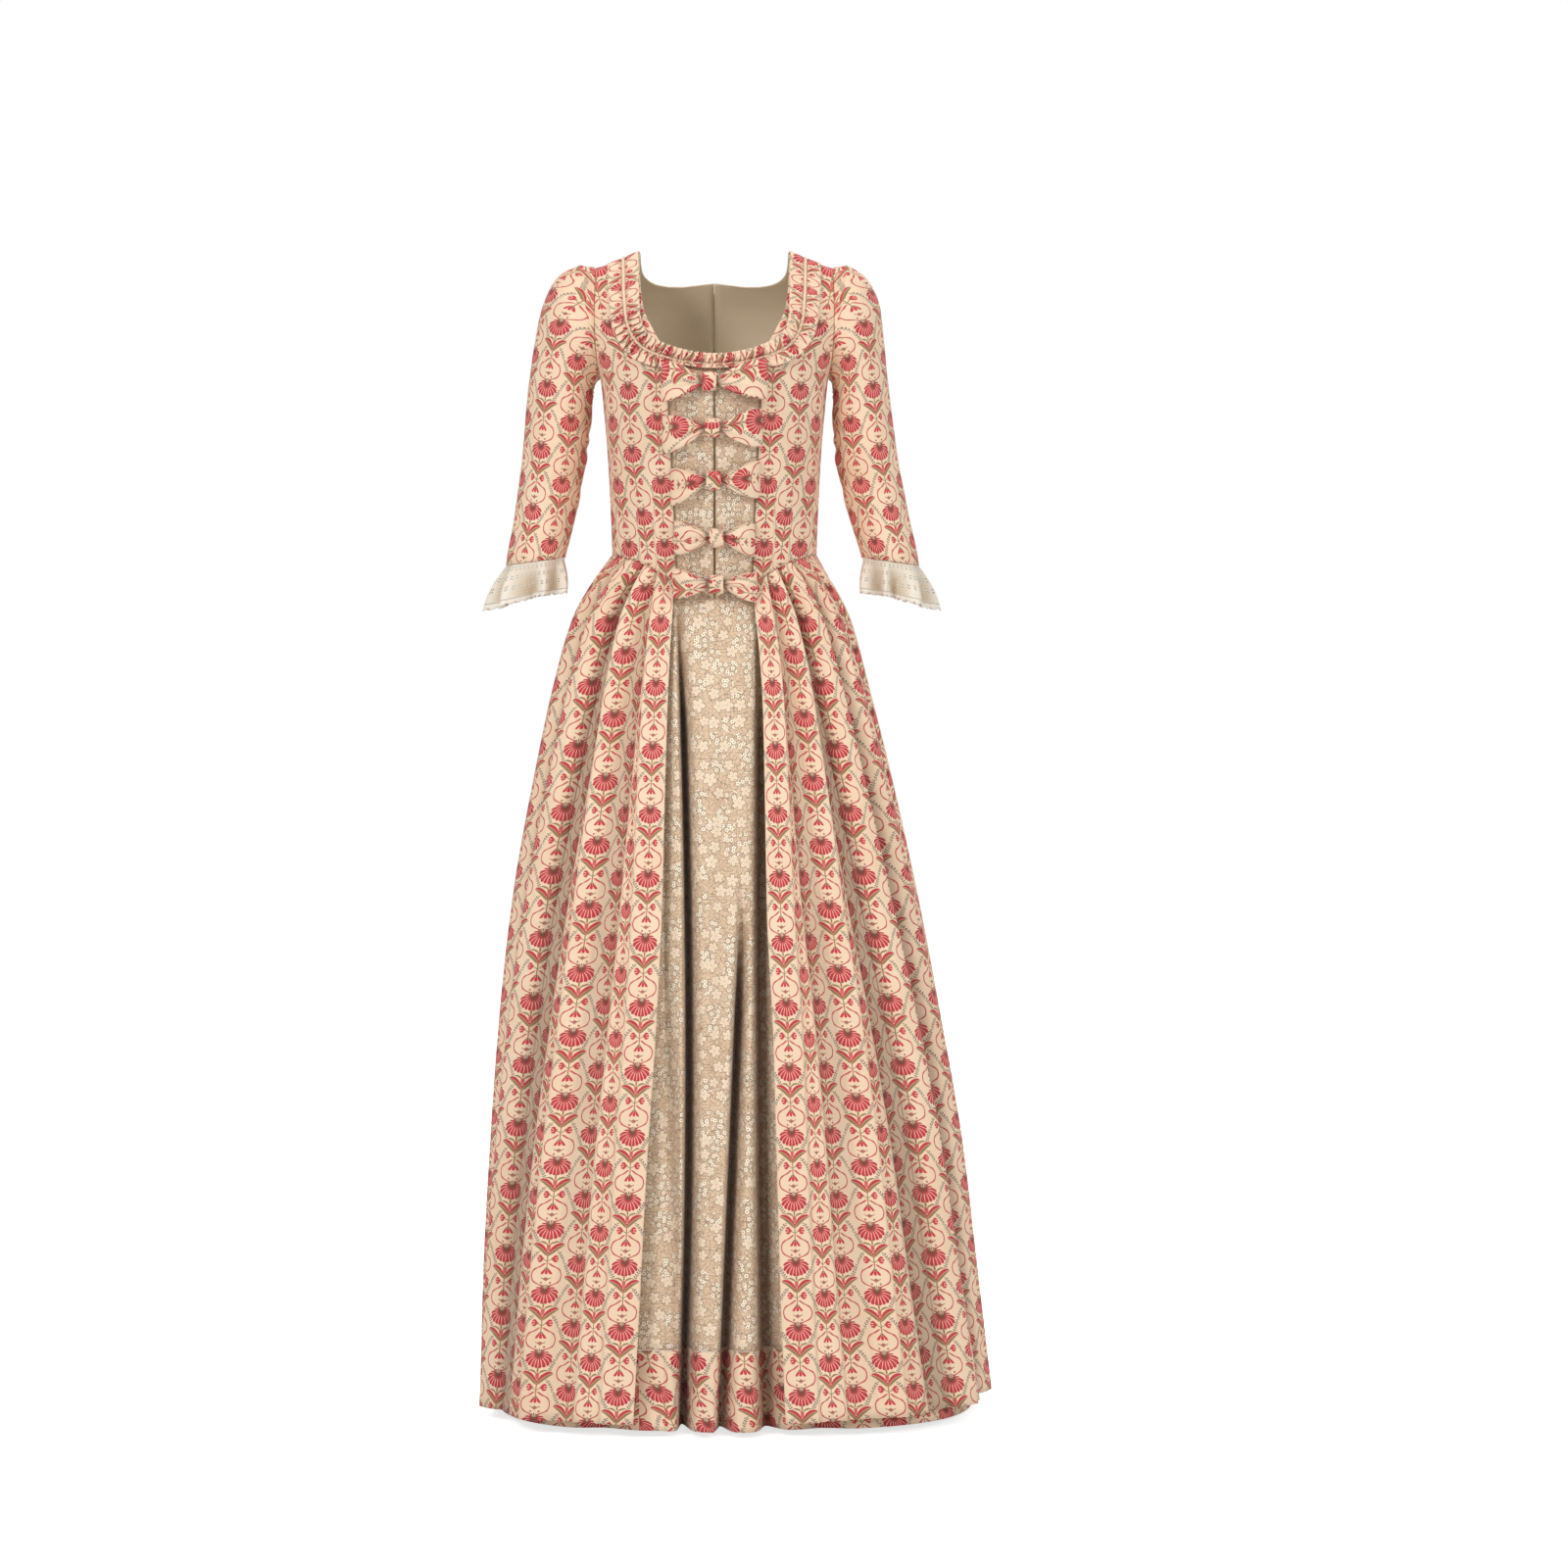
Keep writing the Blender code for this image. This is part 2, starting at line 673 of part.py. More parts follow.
def skirt_side(side, finish):
    """One side of the gown's skirt: the front width and the side width, pleated into the waist seam."""
    waist = line_length(girth_line(skirt_row(0.0), side))
    cloth_width = line_length(girth_line(skirt_row(1.0), side)) * HEM_FULLNESS
    rows = [skirt_ring(side, drop, waist, cloth_width) for drop in SKIRT_DROPS]
    cut = 3 + (SEAMED_PLEAT - 1) * 8 + 6
    front = [row[: cut + 1] for row in rows]
    back = [[nudged(row[cut], row[cut + 1]), *row[cut + 1 :]] for row in rows]
    cloth(f"skirt_front_{side_name(side)}", front, finish, wall=SKIRT_WALL)
    cloth(f"skirt_side_{side_name(side)}", back, finish, wall=SKIRT_WALL)


def skirt_ring(side, drop, waist, cloth_width):
    """The pleated skirt's points at a share of its drop, from the front edge to the sack's seam."""
    line = girth_line(skirt_row(drop), side)
    lengths = [0.0]
    for a, b in zip(line, line[1:]):
        lengths.append(lengths[-1] + (b - a).length)
    closure = min(max((cloth_width - lengths[-1]) / (cloth_width - waist), 0.0), 1.0)
    points = pleated_points(closure, cloth_width)
    scale = lengths[-1] / points[-1][1]
    made = []
    for _, along, lift in points:
        place, out = on_line(line, lengths, along * scale)
        top = waist_seam_z(place)
        place = place - out * (side * lift)
        place.z = top + (hem_z(side, place) - top) * drop
        made.append(place)
    return made


def nudged(point, towards):
    """The point moved by a seam's gap towards the next one."""
    return point + (towards - point).normalized() * SEAM_GAP * 1.5


def waist_seam_z(place):
    """The height of the skirt's top edge, just under the bodice's lower edge."""
    row = TORSO[0]
    share = min(abs(place.x) / row.half_width, 1.0)
    middle = row.back_z if place.y > 0 else row.centre_z
    return row.side_z + (middle - row.side_z) * (1 - share) ** ROW_DIP - SEAM_GAP * 1.5


def hem_z(side, place):
    """The height of the gown's hem, a little higher at the front and on the right."""
    forward = min(max(-place.y / 0.28, 0.0), 1.0)
    lift = 0.006 if side > 0 else -0.004
    aside = min(abs(place.x) / 0.29, 1.0) ** 2
    return HEM_Z + 0.005 * forward + lift * aside


def sack_back(finish):
    """The sack back, in two box pleats from the back neckline that open down to the hem."""
    rows = []
    for row in SACK_OVER_BACK:
        half = [sack_over_back(row, fold) for fold in SACK_FOLDS]
        rows.append([*(mirrored(p) for p in reversed(half[1:])), *half])
    for fall in SACK_BELOW_WAIST:
        half = [sack_below_waist(fall, fold, 1) for fold in SACK_FOLDS]
        other = [sack_below_waist(fall, fold, -1) for fold in SACK_FOLDS]
        rows.append([*reversed(other[1:]), *half])
    return cloth("sack_back", rows, finish, wall=SKIRT_WALL)


def mirrored(point):
    """The point on the other side of the robe."""
    return Vector((-point.x, point.y, point.z))


def sack_fold(fold, openness):
    """How far across and how far out a point of the sack lies."""
    return Vector((fold.folded, fold.folded_lift)).lerp(Vector((fold.open, fold.open_lift)), openness)


def sack_over_back(row, fold):
    """A point of the sack's right half over the fitted back."""
    here = sack_fold(fold, row.openness)
    x = row.half_width * here.x
    y = torso_at(x, row.z, back=True).y + SACK_STAND + row.middle_lift * sack_swell(here.x)
    return Vector((x, y + here.y, row.z))


def sack_swell(across):
    """How much of the middle's standing out is left at a share of the half width."""
    return (1 - min(across, 1.0) ** 2) ** 1.5


def sack_below_waist(fall, fold, side):
    """A point of the sack below the waist, between the seams of the two skirt sides."""
    outline = skirt_row(fall.drop)
    here = sack_fold(fold, fall.openness)
    seam = girth_point(outline, side, turn_of(outline, side, outline.back_seam, back=True))
    top = waist_seam_z(seam)
    z = top + (hem_z(side, seam) - top) * fall.drop
    x = (outline.back_seam - SEAM_GAP * 1.8) * here.x
    y = girth_point(outline, side, turn_of(outline, side, x, back=True)).y
    return Vector((side * x, y + fall.middle_lift * sack_swell(here.x) + here.y, z))


PETTICOAT_DROPS = (0.0, 0.05, 0.12, 0.24, 0.40, 0.58, 0.78, 1.0)


def petticoat_point(turn, side, drop):
    """A point of the petticoat, which hangs inside the gown's skirt all round."""
    outline = skirt_row(drop)
    inset = PETTICOAT_CLEARANCE * (0.70 + 0.30 * drop) + 0.016 * drop * max(0.0, turn - 1)
    place = girth_point(outline, side, turn, inset)
    if turn < 1:
        tuck = sum(flute_depth(flute, place.x, drop) for flute in PETTICOAT_FLUTES)
        ahead = 0.0142 * max(0.0, 1 - (place.x / 0.060) ** 4) * min(drop / 0.08, 1.0)
        place.y += tuck - ahead
    else:
        place += outline_normal(place) * 0.007 * drop * math.cos(turn * 22)
    return place


def outline_normal(place):
    """Outward in plan."""
    return Vector((place.x, place.y, 0)).normalized()


def flute_depth(flute, x, drop):
    """How far the petticoat's front lies back in one of its folds."""
    if drop <= flute.from_drop:
        return 0.0
    t = drop
    middle = (flute.top_x * (1 - t) ** 2 + 2 * flute.middle_x * t * (1 - t) + flute.hem_x * t * t)
    grow = min(1.0, (drop - flute.from_drop) / 0.16)
    return flute.depth * grow * math.exp(-(((x - middle) / (flute.width * (0.8 + 0.5 * drop))) ** 2))


def petticoat_ring(drop, z):
    """A ring of the petticoat, closely spaced across the front that shows."""
    outline = skirt_row(drop)
    turns = []
    reach = turn_of(outline, 1, 0.115 * (0.8 + 0.2 * drop), back=False)
    for i in range(PETTICOAT_FRONT_COLUMNS):
        turns.append(reach * (2 * i / (PETTICOAT_FRONT_COLUMNS - 1) - 1))
    for i in range(PETTICOAT_BACK_COLUMNS):
        turns.append(reach + (4 - 2 * reach) * (i + 1) / (PETTICOAT_BACK_COLUMNS + 1))
    made = []
    for turn in turns:
        side = -1 if turn < 0 or turn > 2 else 1
        place = petticoat_point(4 - turn if turn > 2 else abs(turn), side, drop)
        place.z = z
        made.append(place)
    return made


def petticoat(finish, band_finish):
    """The petticoat in its own cloth, and the band of the gown's cloth sewn on at its hem."""
    top, seam = WAIST_Z - 0.002, PETTICOAT_HEM_Z + BAND_DEPTH
    seam_drop = (top - seam) / (top - PETTICOAT_HEM_Z)
    rows = []
    for share in PETTICOAT_DROPS:
        drop = share * seam_drop
        rows.append(petticoat_ring(drop, top + (PETTICOAT_HEM_Z - top) * drop))
    cloth("petticoat", rows, finish, wall=SKIRT_WALL, closed=True)
    band = [petticoat_ring(seam_drop, seam - SEAM_GAP), petticoat_ring(1.0, PETTICOAT_HEM_Z)]
    cloth("petticoat_hem_band", band, band_finish, wall=SKIRT_WALL, closed=True)


def neck_ruching(finish):
    """The ruched strip round the front of the neck: drawn up along its middle, pleated at both edges."""
    left = [Vector((-x, z, 0)) for x, z in RUCHING_LINE[:-1]]
    right = [Vector((x, z, 0)) for x, z in reversed(RUCHING_LINE)]
    count = RUCHING_WAVES * 3 + 1
    line = smooth_line([*left, *right], count)
    across = (-1.0, 0.0, 1.0)
    places = [torso_at(p.x, p.y) for p in line]
    normals = [torso_normal(p.x, p.y) for p in line]
    rows = []
    for i, place in enumerate(places):
        before, after = places[max(i - 1, 0)], places[min(i + 1, count - 1)]
        tangent = (after - before).normalized()
        outward = normals[i].cross(tangent).normalized()
        crest = (0.15, 1.0, 0.45)[i % 3]
        wide, narrow = RUCHING_HALF_WIDTHS
        width = (narrow + (wide - narrow) * min(abs(place.x) / 0.11, 1.0) ** 2) * (1 + 0.05 * math.sin(2.3 * i))
        row = []
        covered = 1 - RUCHING_COVERED * (1 - eased((abs(place.x) - 0.040) / 0.025))
        for c in across:
            lift = 0.0016 + RUCHING_HEIGHT * crest * (0.25 + 0.75 * abs(c)) + 0.0015 * abs(c)
            lean = tangent * 0.0016 * crest * abs(c)
            under_bow = covered if (outward * c).z < 0 else 1.0
            row.append(place + outward * (c * width * under_bow) + normals[i] * lift + lean)
        rows.append(row)
    return cloth("neck_ruching", rows, finish, wall=TRIM_WALL)


def bow_wing(index, bow, side, finish):
    """One loop of a bow: a band that leaves the knot, turns at its tip and comes back underneath."""
    reach = bow.left_reach if side < 0 else bow.right_reach
    rise = bow.left_rise if side < 0 else bow.right_rise
    outs = [0.0022, *(KNOT_HALF_WIDTH + 0.0010 + (reach - KNOT_HALF_WIDTH) * i / 3 for i in range(4))]
    rows = []
    for i, out in enumerate([*outs, *reversed(outs)]):
        above = i < len(outs)
        share = max(0.0, (out - outs[1]) / (outs[-1] - outs[1]))
        puff = BOW_PUFF * math.sin(math.pi * min(share * 0.94 + 0.06, 1.0)) ** 0.8
        rest = KNOT_BACK + TRIM_WALL * 1.5 + 0.0003
        lift = rest + (bow.tip_lift - rest) * math.sqrt(share) + (BOW_FOLD + puff if above else 0.0)
        height = BOW_PINCH + (bow.tip_height - BOW_PINCH) * math.sin(math.pi / 2 * share) ** 1.3
        row = []
        for j in range(5):
            up = j / 4 - 0.5
            z = bow.z + rise * share + up * height
            x = bow.x + side * out
            crown = 0.0020 * (1 - (2 * up) ** 2) * share if above else 0.0
            place, normal = torso_at(x, z), torso_normal(x, z)
            row.append(Vector((place.x, place.y, z)) + normal * (lift + crown))
        rows.append(row)
    return cloth(f"bow_{index}_wing_{side_name(side)}", rows, finish, wall=TRIM_WALL)


def bow_knot(index, bow, finish):
    """The strip wrapped round the middle of a bow."""
    normal = torso_normal(bow.x, bow.z)
    normal = Vector((0, normal.y, normal.z)).normalized()
    upward = Vector((0, normal.z, -normal.y))
    rows = []
    for across in (-1.0, 0.0, 1.0):
        crown = 1.0 + 0.08 * (1 - across * across)
        here = torso_at(bow.x + KNOT_HALF_WIDTH * across, bow.z)
        here.z = bow.z
        row = []
        for up, out in KNOT_SECTION:
            stand = KNOT_BACK + KNOT_HALF_DEPTH * (1 + out * (crown if out > 0 else 1))
            row.append(here + normal * stand + upward * (KNOT_HALF_HEIGHT * crown * up))
        rows.append(row)
    return cloth(f"bow_{index}_knot", rows, finish, wall=TRIM_WALL, closed=True, offset=1.0)


def build():
    """Makes every piece of the robe."""
    printed = material("Printed cotton", (0.78, 0.55, 0.42), 0.85)
    tan = material("Tan flowered cotton", (0.62, 0.47, 0.32), 0.85)
    lace = material("Cream lace", (0.86, 0.80, 0.68), 0.90)
    for side in (-1, 1):
        bodice_front(side, printed)
        bodice_back(side, printed)
        stomacher(side, tan)
        sleeve(side, printed)
        cuff_ruffle(side, lace)
        skirt_side(side, printed)
    sack_back(printed)
    petticoat(tan, printed)
    neck_ruching(printed)
    for index, bow in enumerate(BOWS, start=1):
        bow_knot(index, bow, printed)
        for side in (-1, 1):
            bow_wing(index, bow, side, printed)


for old in list(bpy.data.objects):
    bpy.data.objects.remove(old)
robe = bpy.data.collections.new("Robe a la francaise")
bpy.context.scene.collection.children.link(robe)
build()
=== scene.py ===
import math

import bpy
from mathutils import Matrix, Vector


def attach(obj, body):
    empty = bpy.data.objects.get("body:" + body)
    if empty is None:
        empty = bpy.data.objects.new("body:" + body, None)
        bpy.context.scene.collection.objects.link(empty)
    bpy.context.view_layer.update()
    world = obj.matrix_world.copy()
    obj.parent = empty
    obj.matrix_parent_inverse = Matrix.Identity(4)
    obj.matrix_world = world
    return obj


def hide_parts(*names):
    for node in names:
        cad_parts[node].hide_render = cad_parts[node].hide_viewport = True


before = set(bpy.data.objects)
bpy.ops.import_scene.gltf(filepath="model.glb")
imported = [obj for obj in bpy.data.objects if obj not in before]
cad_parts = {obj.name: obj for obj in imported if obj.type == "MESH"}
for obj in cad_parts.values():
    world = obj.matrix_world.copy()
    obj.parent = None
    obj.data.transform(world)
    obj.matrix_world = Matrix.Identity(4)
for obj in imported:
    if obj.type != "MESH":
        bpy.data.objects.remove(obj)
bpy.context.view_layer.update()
print("frame loaded:", len(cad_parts), "nodes")

# The camera and the studio

camera = {"place": (0.0, -6.0, -0.39), "aim": (0.085, 0.0, -0.65), "lens": 112.5}
studio = {
    "floor": -1.410,
    "floorHalf": 14.0,  # metres from its middle to an edge
    "floorRoughness": 0.9,
    "floorColour": (0.94, 0.94, 0.94),
    "floorGlow": 0.72,  # what the camera sees of the white paper, over the light that falls on it
    "world": (1.0, 0.995, 0.985),
    "worldStrength": 0.39,
    "lampsAim": (0.0, 0.0, -0.7),
    # name, place, size, watts
    "lamps": (
        ("leftSoftbox", (-2.6, -3.9, 1.9), 1.2, 90.0),
        ("rightSoftbox", (3.2, -3.6, 1.2), 1.5, 56.0),
        ("topSoftbox", (0.0, -0.8, 3.2), 2.6, 46.0),
        ("backSoftbox", (1.6, 4.4, 2.2), 1.8, 92.0),
    ),
}


def makeCamera():
    lens = bpy.data.cameras.new("camera")
    lens.lens = camera["lens"]
    eye = bpy.data.objects.new("camera", lens)
    bpy.context.scene.collection.objects.link(eye)
    eye.location = camera["place"]
    look = Vector(camera["aim"]) - Vector(camera["place"])
    eye.rotation_euler = look.to_track_quat("-Z", "Y").to_euler()
    bpy.context.scene.camera = eye


def makeStudio():
    mesh = bpy.data.meshes.new("floor")
    half = studio["floorHalf"]
    z = studio["floor"]
    mesh.from_pydata(
        [(-half, -half, z), (half, -half, z), (half, half, z), (-half, half, z)], [], [(0, 1, 2, 3)]
    )
    paper = bpy.data.materials.new("floorPaper")
    paper.use_nodes = True
    shader = paper.node_tree.nodes["Principled BSDF"]
    shader.inputs["Base Color"].default_value = (*studio["floorColour"], 1)
    shader.inputs["Roughness"].default_value = studio["floorRoughness"]
    shader.inputs["Emission Color"].default_value = (1, 1, 1, 1)
    seen = paper.node_tree.nodes.new("ShaderNodeLightPath")
    glow = paper.node_tree.nodes.new("ShaderNodeMath")
    glow.operation = "MULTIPLY"
    glow.inputs[1].default_value = studio["floorGlow"]
    paper.node_tree.links.new(seen.outputs["Is Camera Ray"], glow.inputs[0])
    paper.node_tree.links.new(glow.outputs[0], shader.inputs["Emission Strength"])
    mesh.materials.append(paper)
    floor = bpy.data.objects.new("floor", mesh)
    bpy.context.scene.collection.objects.link(floor)
    world = bpy.data.worlds.new("studioWorld")
    bpy.context.scene.world = world
    world.use_nodes = True
    light = world.node_tree.nodes["Background"]
    light.inputs["Color"].default_value = (*studio["world"], 1)
    light.inputs["Strength"].default_value = studio["worldStrength"]
    white = world.node_tree.nodes.new("ShaderNodeBackground")  # what shows behind the gown
    seen = world.node_tree.nodes.new("ShaderNodeLightPath")
    choose = world.node_tree.nodes.new("ShaderNodeMixShader")
    for start, end in (
        (seen.outputs["Is Camera Ray"], choose.inputs[0]),
        (light.outputs[0], choose.inputs[1]),
        (white.outputs[0], choose.inputs[2]),
        (choose.outputs[0], world.node_tree.nodes["World Output"].inputs[0]),
    ):
        world.node_tree.links.new(start, end)
    white.inputs["Color"].default_value = (1, 1, 1, 1)
    bpy.context.scene.view_settings.view_transform = "Standard"
    for name, place, size, watts in studio["lamps"]:
        lamp = bpy.data.lights.new(name, "AREA")
        lamp.size = size
        lamp.energy = watts
        box = bpy.data.objects.new(name, lamp)
        bpy.context.scene.collection.objects.link(box)
        box.location = place
        aim = Vector(studio["lampsAim"]) - Vector(place)
        box.rotation_euler = aim.to_track_quat("-Z", "Y").to_euler()


makeCamera()
makeStudio()
print("camera and studio ready")

# Curves through short tables


def between(xs, ys, x):  # a smooth curve through the points that never overshoots
    rising = xs[-1] > xs[0]
    i, last = 0, len(xs) - 2
    while i < last and (x > xs[i + 1]) == rising and x != xs[i + 1]:
        i += 1
    t = (x - xs[i]) / (xs[i + 1] - xs[i])
    t = min(max(t, 0.0), 1.0)
    span = xs[i + 1] - xs[i]
    a, b = slopeAt(xs, ys, i) * span, slopeAt(xs, ys, i + 1) * span
    u = 1 - t
    early = ys[i] * (1 + 2 * t) * u * u + a * t * u * u
    return early + ys[i + 1] * t * t * (3 - 2 * t) + b * t * t * (t - 1)


def slopeAt(xs, ys, i):
    def chord(k):
        return (ys[k + 1] - ys[k]) / (xs[k + 1] - xs[k])

    if i == 0:
        return chord(0)
    if i == len(xs) - 1:
        return chord(i - 1)
    a, b = chord(i - 1), chord(i)
    return 0.0 if a * b <= 0 else 2 * a * b / (a + b)


def table(columns, rows):  # a table with named columns, read at any place along its first column
    return {name: [row[i] for row in rows] for i, name in enumerate(columns)}


def read(made, at):
    keys = list(made)
    xs = made[keys[0]]
    return {name: between(xs, made[name], at) for name in keys}


def ease(x):
    x = min(max(x, 0.0), 1.0)
    return x * x * (3 - 2 * x)


def evenly(points, count, closed=False):  # the same line with evenly spaced points
    line = list(points) + ([points[0]] if closed else [])
    lengths = [0.0]
    for a, b in zip(line, line[1:]):
        lengths.append(lengths[-1] + (b - a).length)
    steps = count if closed else count - 1
    made, i = [], 0
    for k in range(count):
        target = lengths[-1] * k / steps
        while i < len(lengths) - 2 and lengths[i + 1] < target:
            i += 1
        made.append(line[i].lerp(line[i + 1], (target - lengths[i]) / (lengths[i + 1] - lengths[i])))
    return made


def smoothLine(points, count):  # a Catmull-Rom curve, evenly spaced
    ends = [2 * points[0] - points[1], *points, 2 * points[-1] - points[-2]]
    fine = []
    for a, b, c, d in zip(ends, ends[1:], ends[2:], ends[3:]):
        for k in range(16):
            t = k / 16
            bend = (2 * a - 5 * b + 4 * c - d) * t * t + (3 * b - a - 3 * c + d) * t**3
            fine.append(0.5 * (2 * b + (c - a) * t + bend))
    return evenly([*fine, points[-1]], count)


def wobble(x, y=0.0, seed=0.0):  # a soft, repeatable unevenness from -1 to 1
    a = math.sin(x + 1.7 * seed + 2.1 * math.sin(y * 0.61 + seed))
    b = math.sin(x * 2.3 + y * 1.3 + 4.1 * seed)
    c = math.sin(x * 0.47 - y * 1.9 + 2.9 * seed)
    return (a + 0.6 * b + 0.5 * c) / 2.1


# Cloth: a shell through rows of points, with its print's place in metres of cloth

finishes = {}


def clothPiece(
    node, rows, marks, finish, wall=0.0012, closed=False, offset=0.0, inside=None,
    paintedShades=None
):
    name = node + ("_lace" if finish == "eyeletLace" else "_cloth")
    columns = len(rows[0])
    across = columns if closed else columns - 1
    faces, places = [], []
    for r in range(len(rows) - 1):
        for c in range(across):
            right = (c + 1) % columns
            faces.append(
                (r * columns + c, r * columns + right, (r + 1) * columns + right, (r + 1) * columns + c)
            )
            places += [marks[r][c], marks[r][c + 1], marks[r + 1][c + 1], marks[r + 1][c]]
    mesh = bpy.data.meshes.new(name)
    mesh.from_pydata([tuple(p) for row in rows for p in row], [], faces)
    mesh.shade_smooth()
    layer = mesh.uv_layers.new(name="cloth")
    layer.data.foreach_set("uv", [number for place in places for number in place])
    if paintedShades:  # how deep in a fold each point lies, which the finish paints as shade
        mesh.attributes.new("paintedShade", "FLOAT", "POINT").data.foreach_set(
            "value", [number for row in paintedShades for number in row]
        )
    faced = [finishes[finish], finishes[inside or finish]]
    turnedOut = sum(face.area * face.normal.dot(face.center * Vector((1, 1, 0))) for face in mesh.polygons) > 0
    for material in faced if turnedOut else reversed(faced):
        mesh.materials.append(material)
    piece = bpy.data.objects.new(name, mesh)
    bpy.context.scene.collection.objects.link(piece)
    thick = piece.modifiers.new("thickness", "SOLIDIFY")
    thick.thickness = wall
    thick.offset = offset
    thick.material_offset = 1
    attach(piece, "root")
    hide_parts(node)


def sideName(side):
    return "left" if side < 0 else "right"


# Finishes, drawn with nodes from a cloth map in metres


# draws a pattern with nodes: shapes are numbers from 0 to 1, and a later colour covers an earlier one
class Chart:
    def __init__(self, name):
        self.material = bpy.data.materials.new(name)
        self.material.use_nodes = True
        self.nodes = self.material.node_tree.nodes
        self.links = self.material.node_tree.links
        self.shader = self.nodes["Principled BSDF"]
        self.map = self.nodes.new("ShaderNodeUVMap")
        self.map.uv_map = "cloth"

    # reads the painted shade each point carries, which darkens folds and creases in the colour
    def paintedShade(self, strength):
        found = self.nodes.new("ShaderNodeAttribute")
        found.attribute_name = "paintedShade"
        return self.mul(found.outputs["Fac"], strength)

    def feed(self, socket, value):
        if isinstance(value, bpy.types.NodeSocket):
            self.links.new(value, socket)
        elif isinstance(value, (tuple, list)) and len(value) == 3 and socket.type == "RGBA":
            socket.default_value = (*value, 1)
        else:
            socket.default_value = value

    def math(self, kind, a, b=0.0, c=0.0):
        node = self.nodes.new("ShaderNodeMath")
        node.operation = kind
        for socket, value in zip(node.inputs, (a, b, c)):
            self.feed(socket, value)
        return node.outputs[0]

    def add(self, a, b):
        return self.math("ADD", a, b)

    def sub(self, a, b):
        return self.math("SUBTRACT", a, b)

    def mul(self, a, b):
        return self.math("MULTIPLY", a, b)

    def div(self, a, b):
        return self.math("DIVIDE", a, b)

    def both(self, *shapes):
        made = shapes[0]
        for shape in shapes[1:]:
            made = self.math("MULTIPLY", made, shape)
        return made

    def either(self, *shapes):
        made = shapes[0]
        for shape in shapes[1:]:
            made = self.math("MAXIMUM", made, shape)
        return made

    def soft(self, value, edge, width):  # 1 below the edge, 0 above it
        node = self.nodes.new("ShaderNodeMapRange")
        node.clamp = True
        self.feed(node.inputs["Value"], value)
        self.feed(
            node.inputs["From Min"],
            self.sub(edge, width) if isinstance(edge, bpy.types.NodeSocket) else edge - width
        )
        self.feed(
            node.inputs["From Max"],
            self.add(edge, width) if isinstance(edge, bpy.types.NodeSocket) else edge + width
        )
        node.inputs["To Min"].default_value = 1.0
        node.inputs["To Max"].default_value = 0.0
        return node.outputs[0]

    def span(self, value, low, high, width):  # 1 between two edges
        return self.both(self.soft(value, high, width), self.sub(1.0, self.soft(value, low, width)))

    # a curve through points (at, size), with at up to reach and size up to height
    def curve(self, value, points, reach, height):
        node = self.nodes.new("ShaderNodeFloatCurve")
        line = node.mapping.curves[0]
        line.points[0].location = (points[0][0] / reach, points[0][1] / height)
        line.points[1].location = (points[-1][0] / reach, points[-1][1] / height)
        for at, size in points[1:-1]:
            line.points.new(at / reach, size / height)
        node.mapping.update()
        self.feed(node.inputs["Value"], self.div(value, reach))
        return self.mul(node.outputs[0], height)

    def noise(self, vector, scale, detail=2.0):
        node = self.nodes.new("ShaderNodeTexNoise")
        node.inputs["Scale"].default_value = scale
        node.inputs["Detail"].default_value = detail
        self.feed(node.inputs["Vector"], vector)
        return node.outputs["Fac"]

    def vector(self, x, y, z=0.0):
        node = self.nodes.new("ShaderNodeCombineXYZ")
        for socket, value in zip(node.inputs, (x, y, z)):
            self.feed(socket, value)
        return node.outputs[0]

    def parts(self, vector):
        node = self.nodes.new("ShaderNodeSeparateXYZ")
        self.feed(node.inputs[0], vector)
        return node.outputs[0], node.outputs[1], node.outputs[2]

    def paint(self, under, colour, shape):
        node = self.nodes.new("ShaderNodeMix")
        node.data_type = "RGBA"
        self.feed(node.inputs["Factor"], shape)
        self.feed(node.inputs[6], under)
        self.feed(node.inputs[7], colour)
        return node.outputs[2]

    def oval(self, x, y, centreX, centreY, wide, tall, soften=0.12):
        a = self.div(self.sub(x, centreX), wide)
        b = self.div(self.sub(y, centreY), tall)
        far = self.math("SQRT", self.add(self.mul(a, a), self.mul(b, b)))
        return self.soft(far, 1.0, soften)

    def bump(self, height, strength, distance):
        node = self.nodes.new("ShaderNodeBump")
        node.inputs["Strength"].default_value = strength
        node.inputs["Distance"].default_value = distance
        self.feed(node.inputs["Height"], height)
        self.links.new(node.outputs[0], self.shader.inputs["Normal"])

    def finish(self, colour, roughness, sheen):
        self.links.new(colour, self.shader.inputs["Base Color"])
        self.shader.inputs["Roughness"].default_value = roughness
        self.shader.inputs["Sheen Weight"].default_value = sheen
        self.shader.inputs["Sheen Roughness"].default_value = 0.5
        self.shader.inputs["Specular IOR Level"].default_value = 0.25


def colour(red, green, blue):  # a screen colour, 0 to 255, as Blender mixes it
    return tuple(
        ((c / 255 + 0.055) / 1.055) ** 2.4 if c > 10 else c / 255 / 12.92 for c in (red, green, blue)
    )


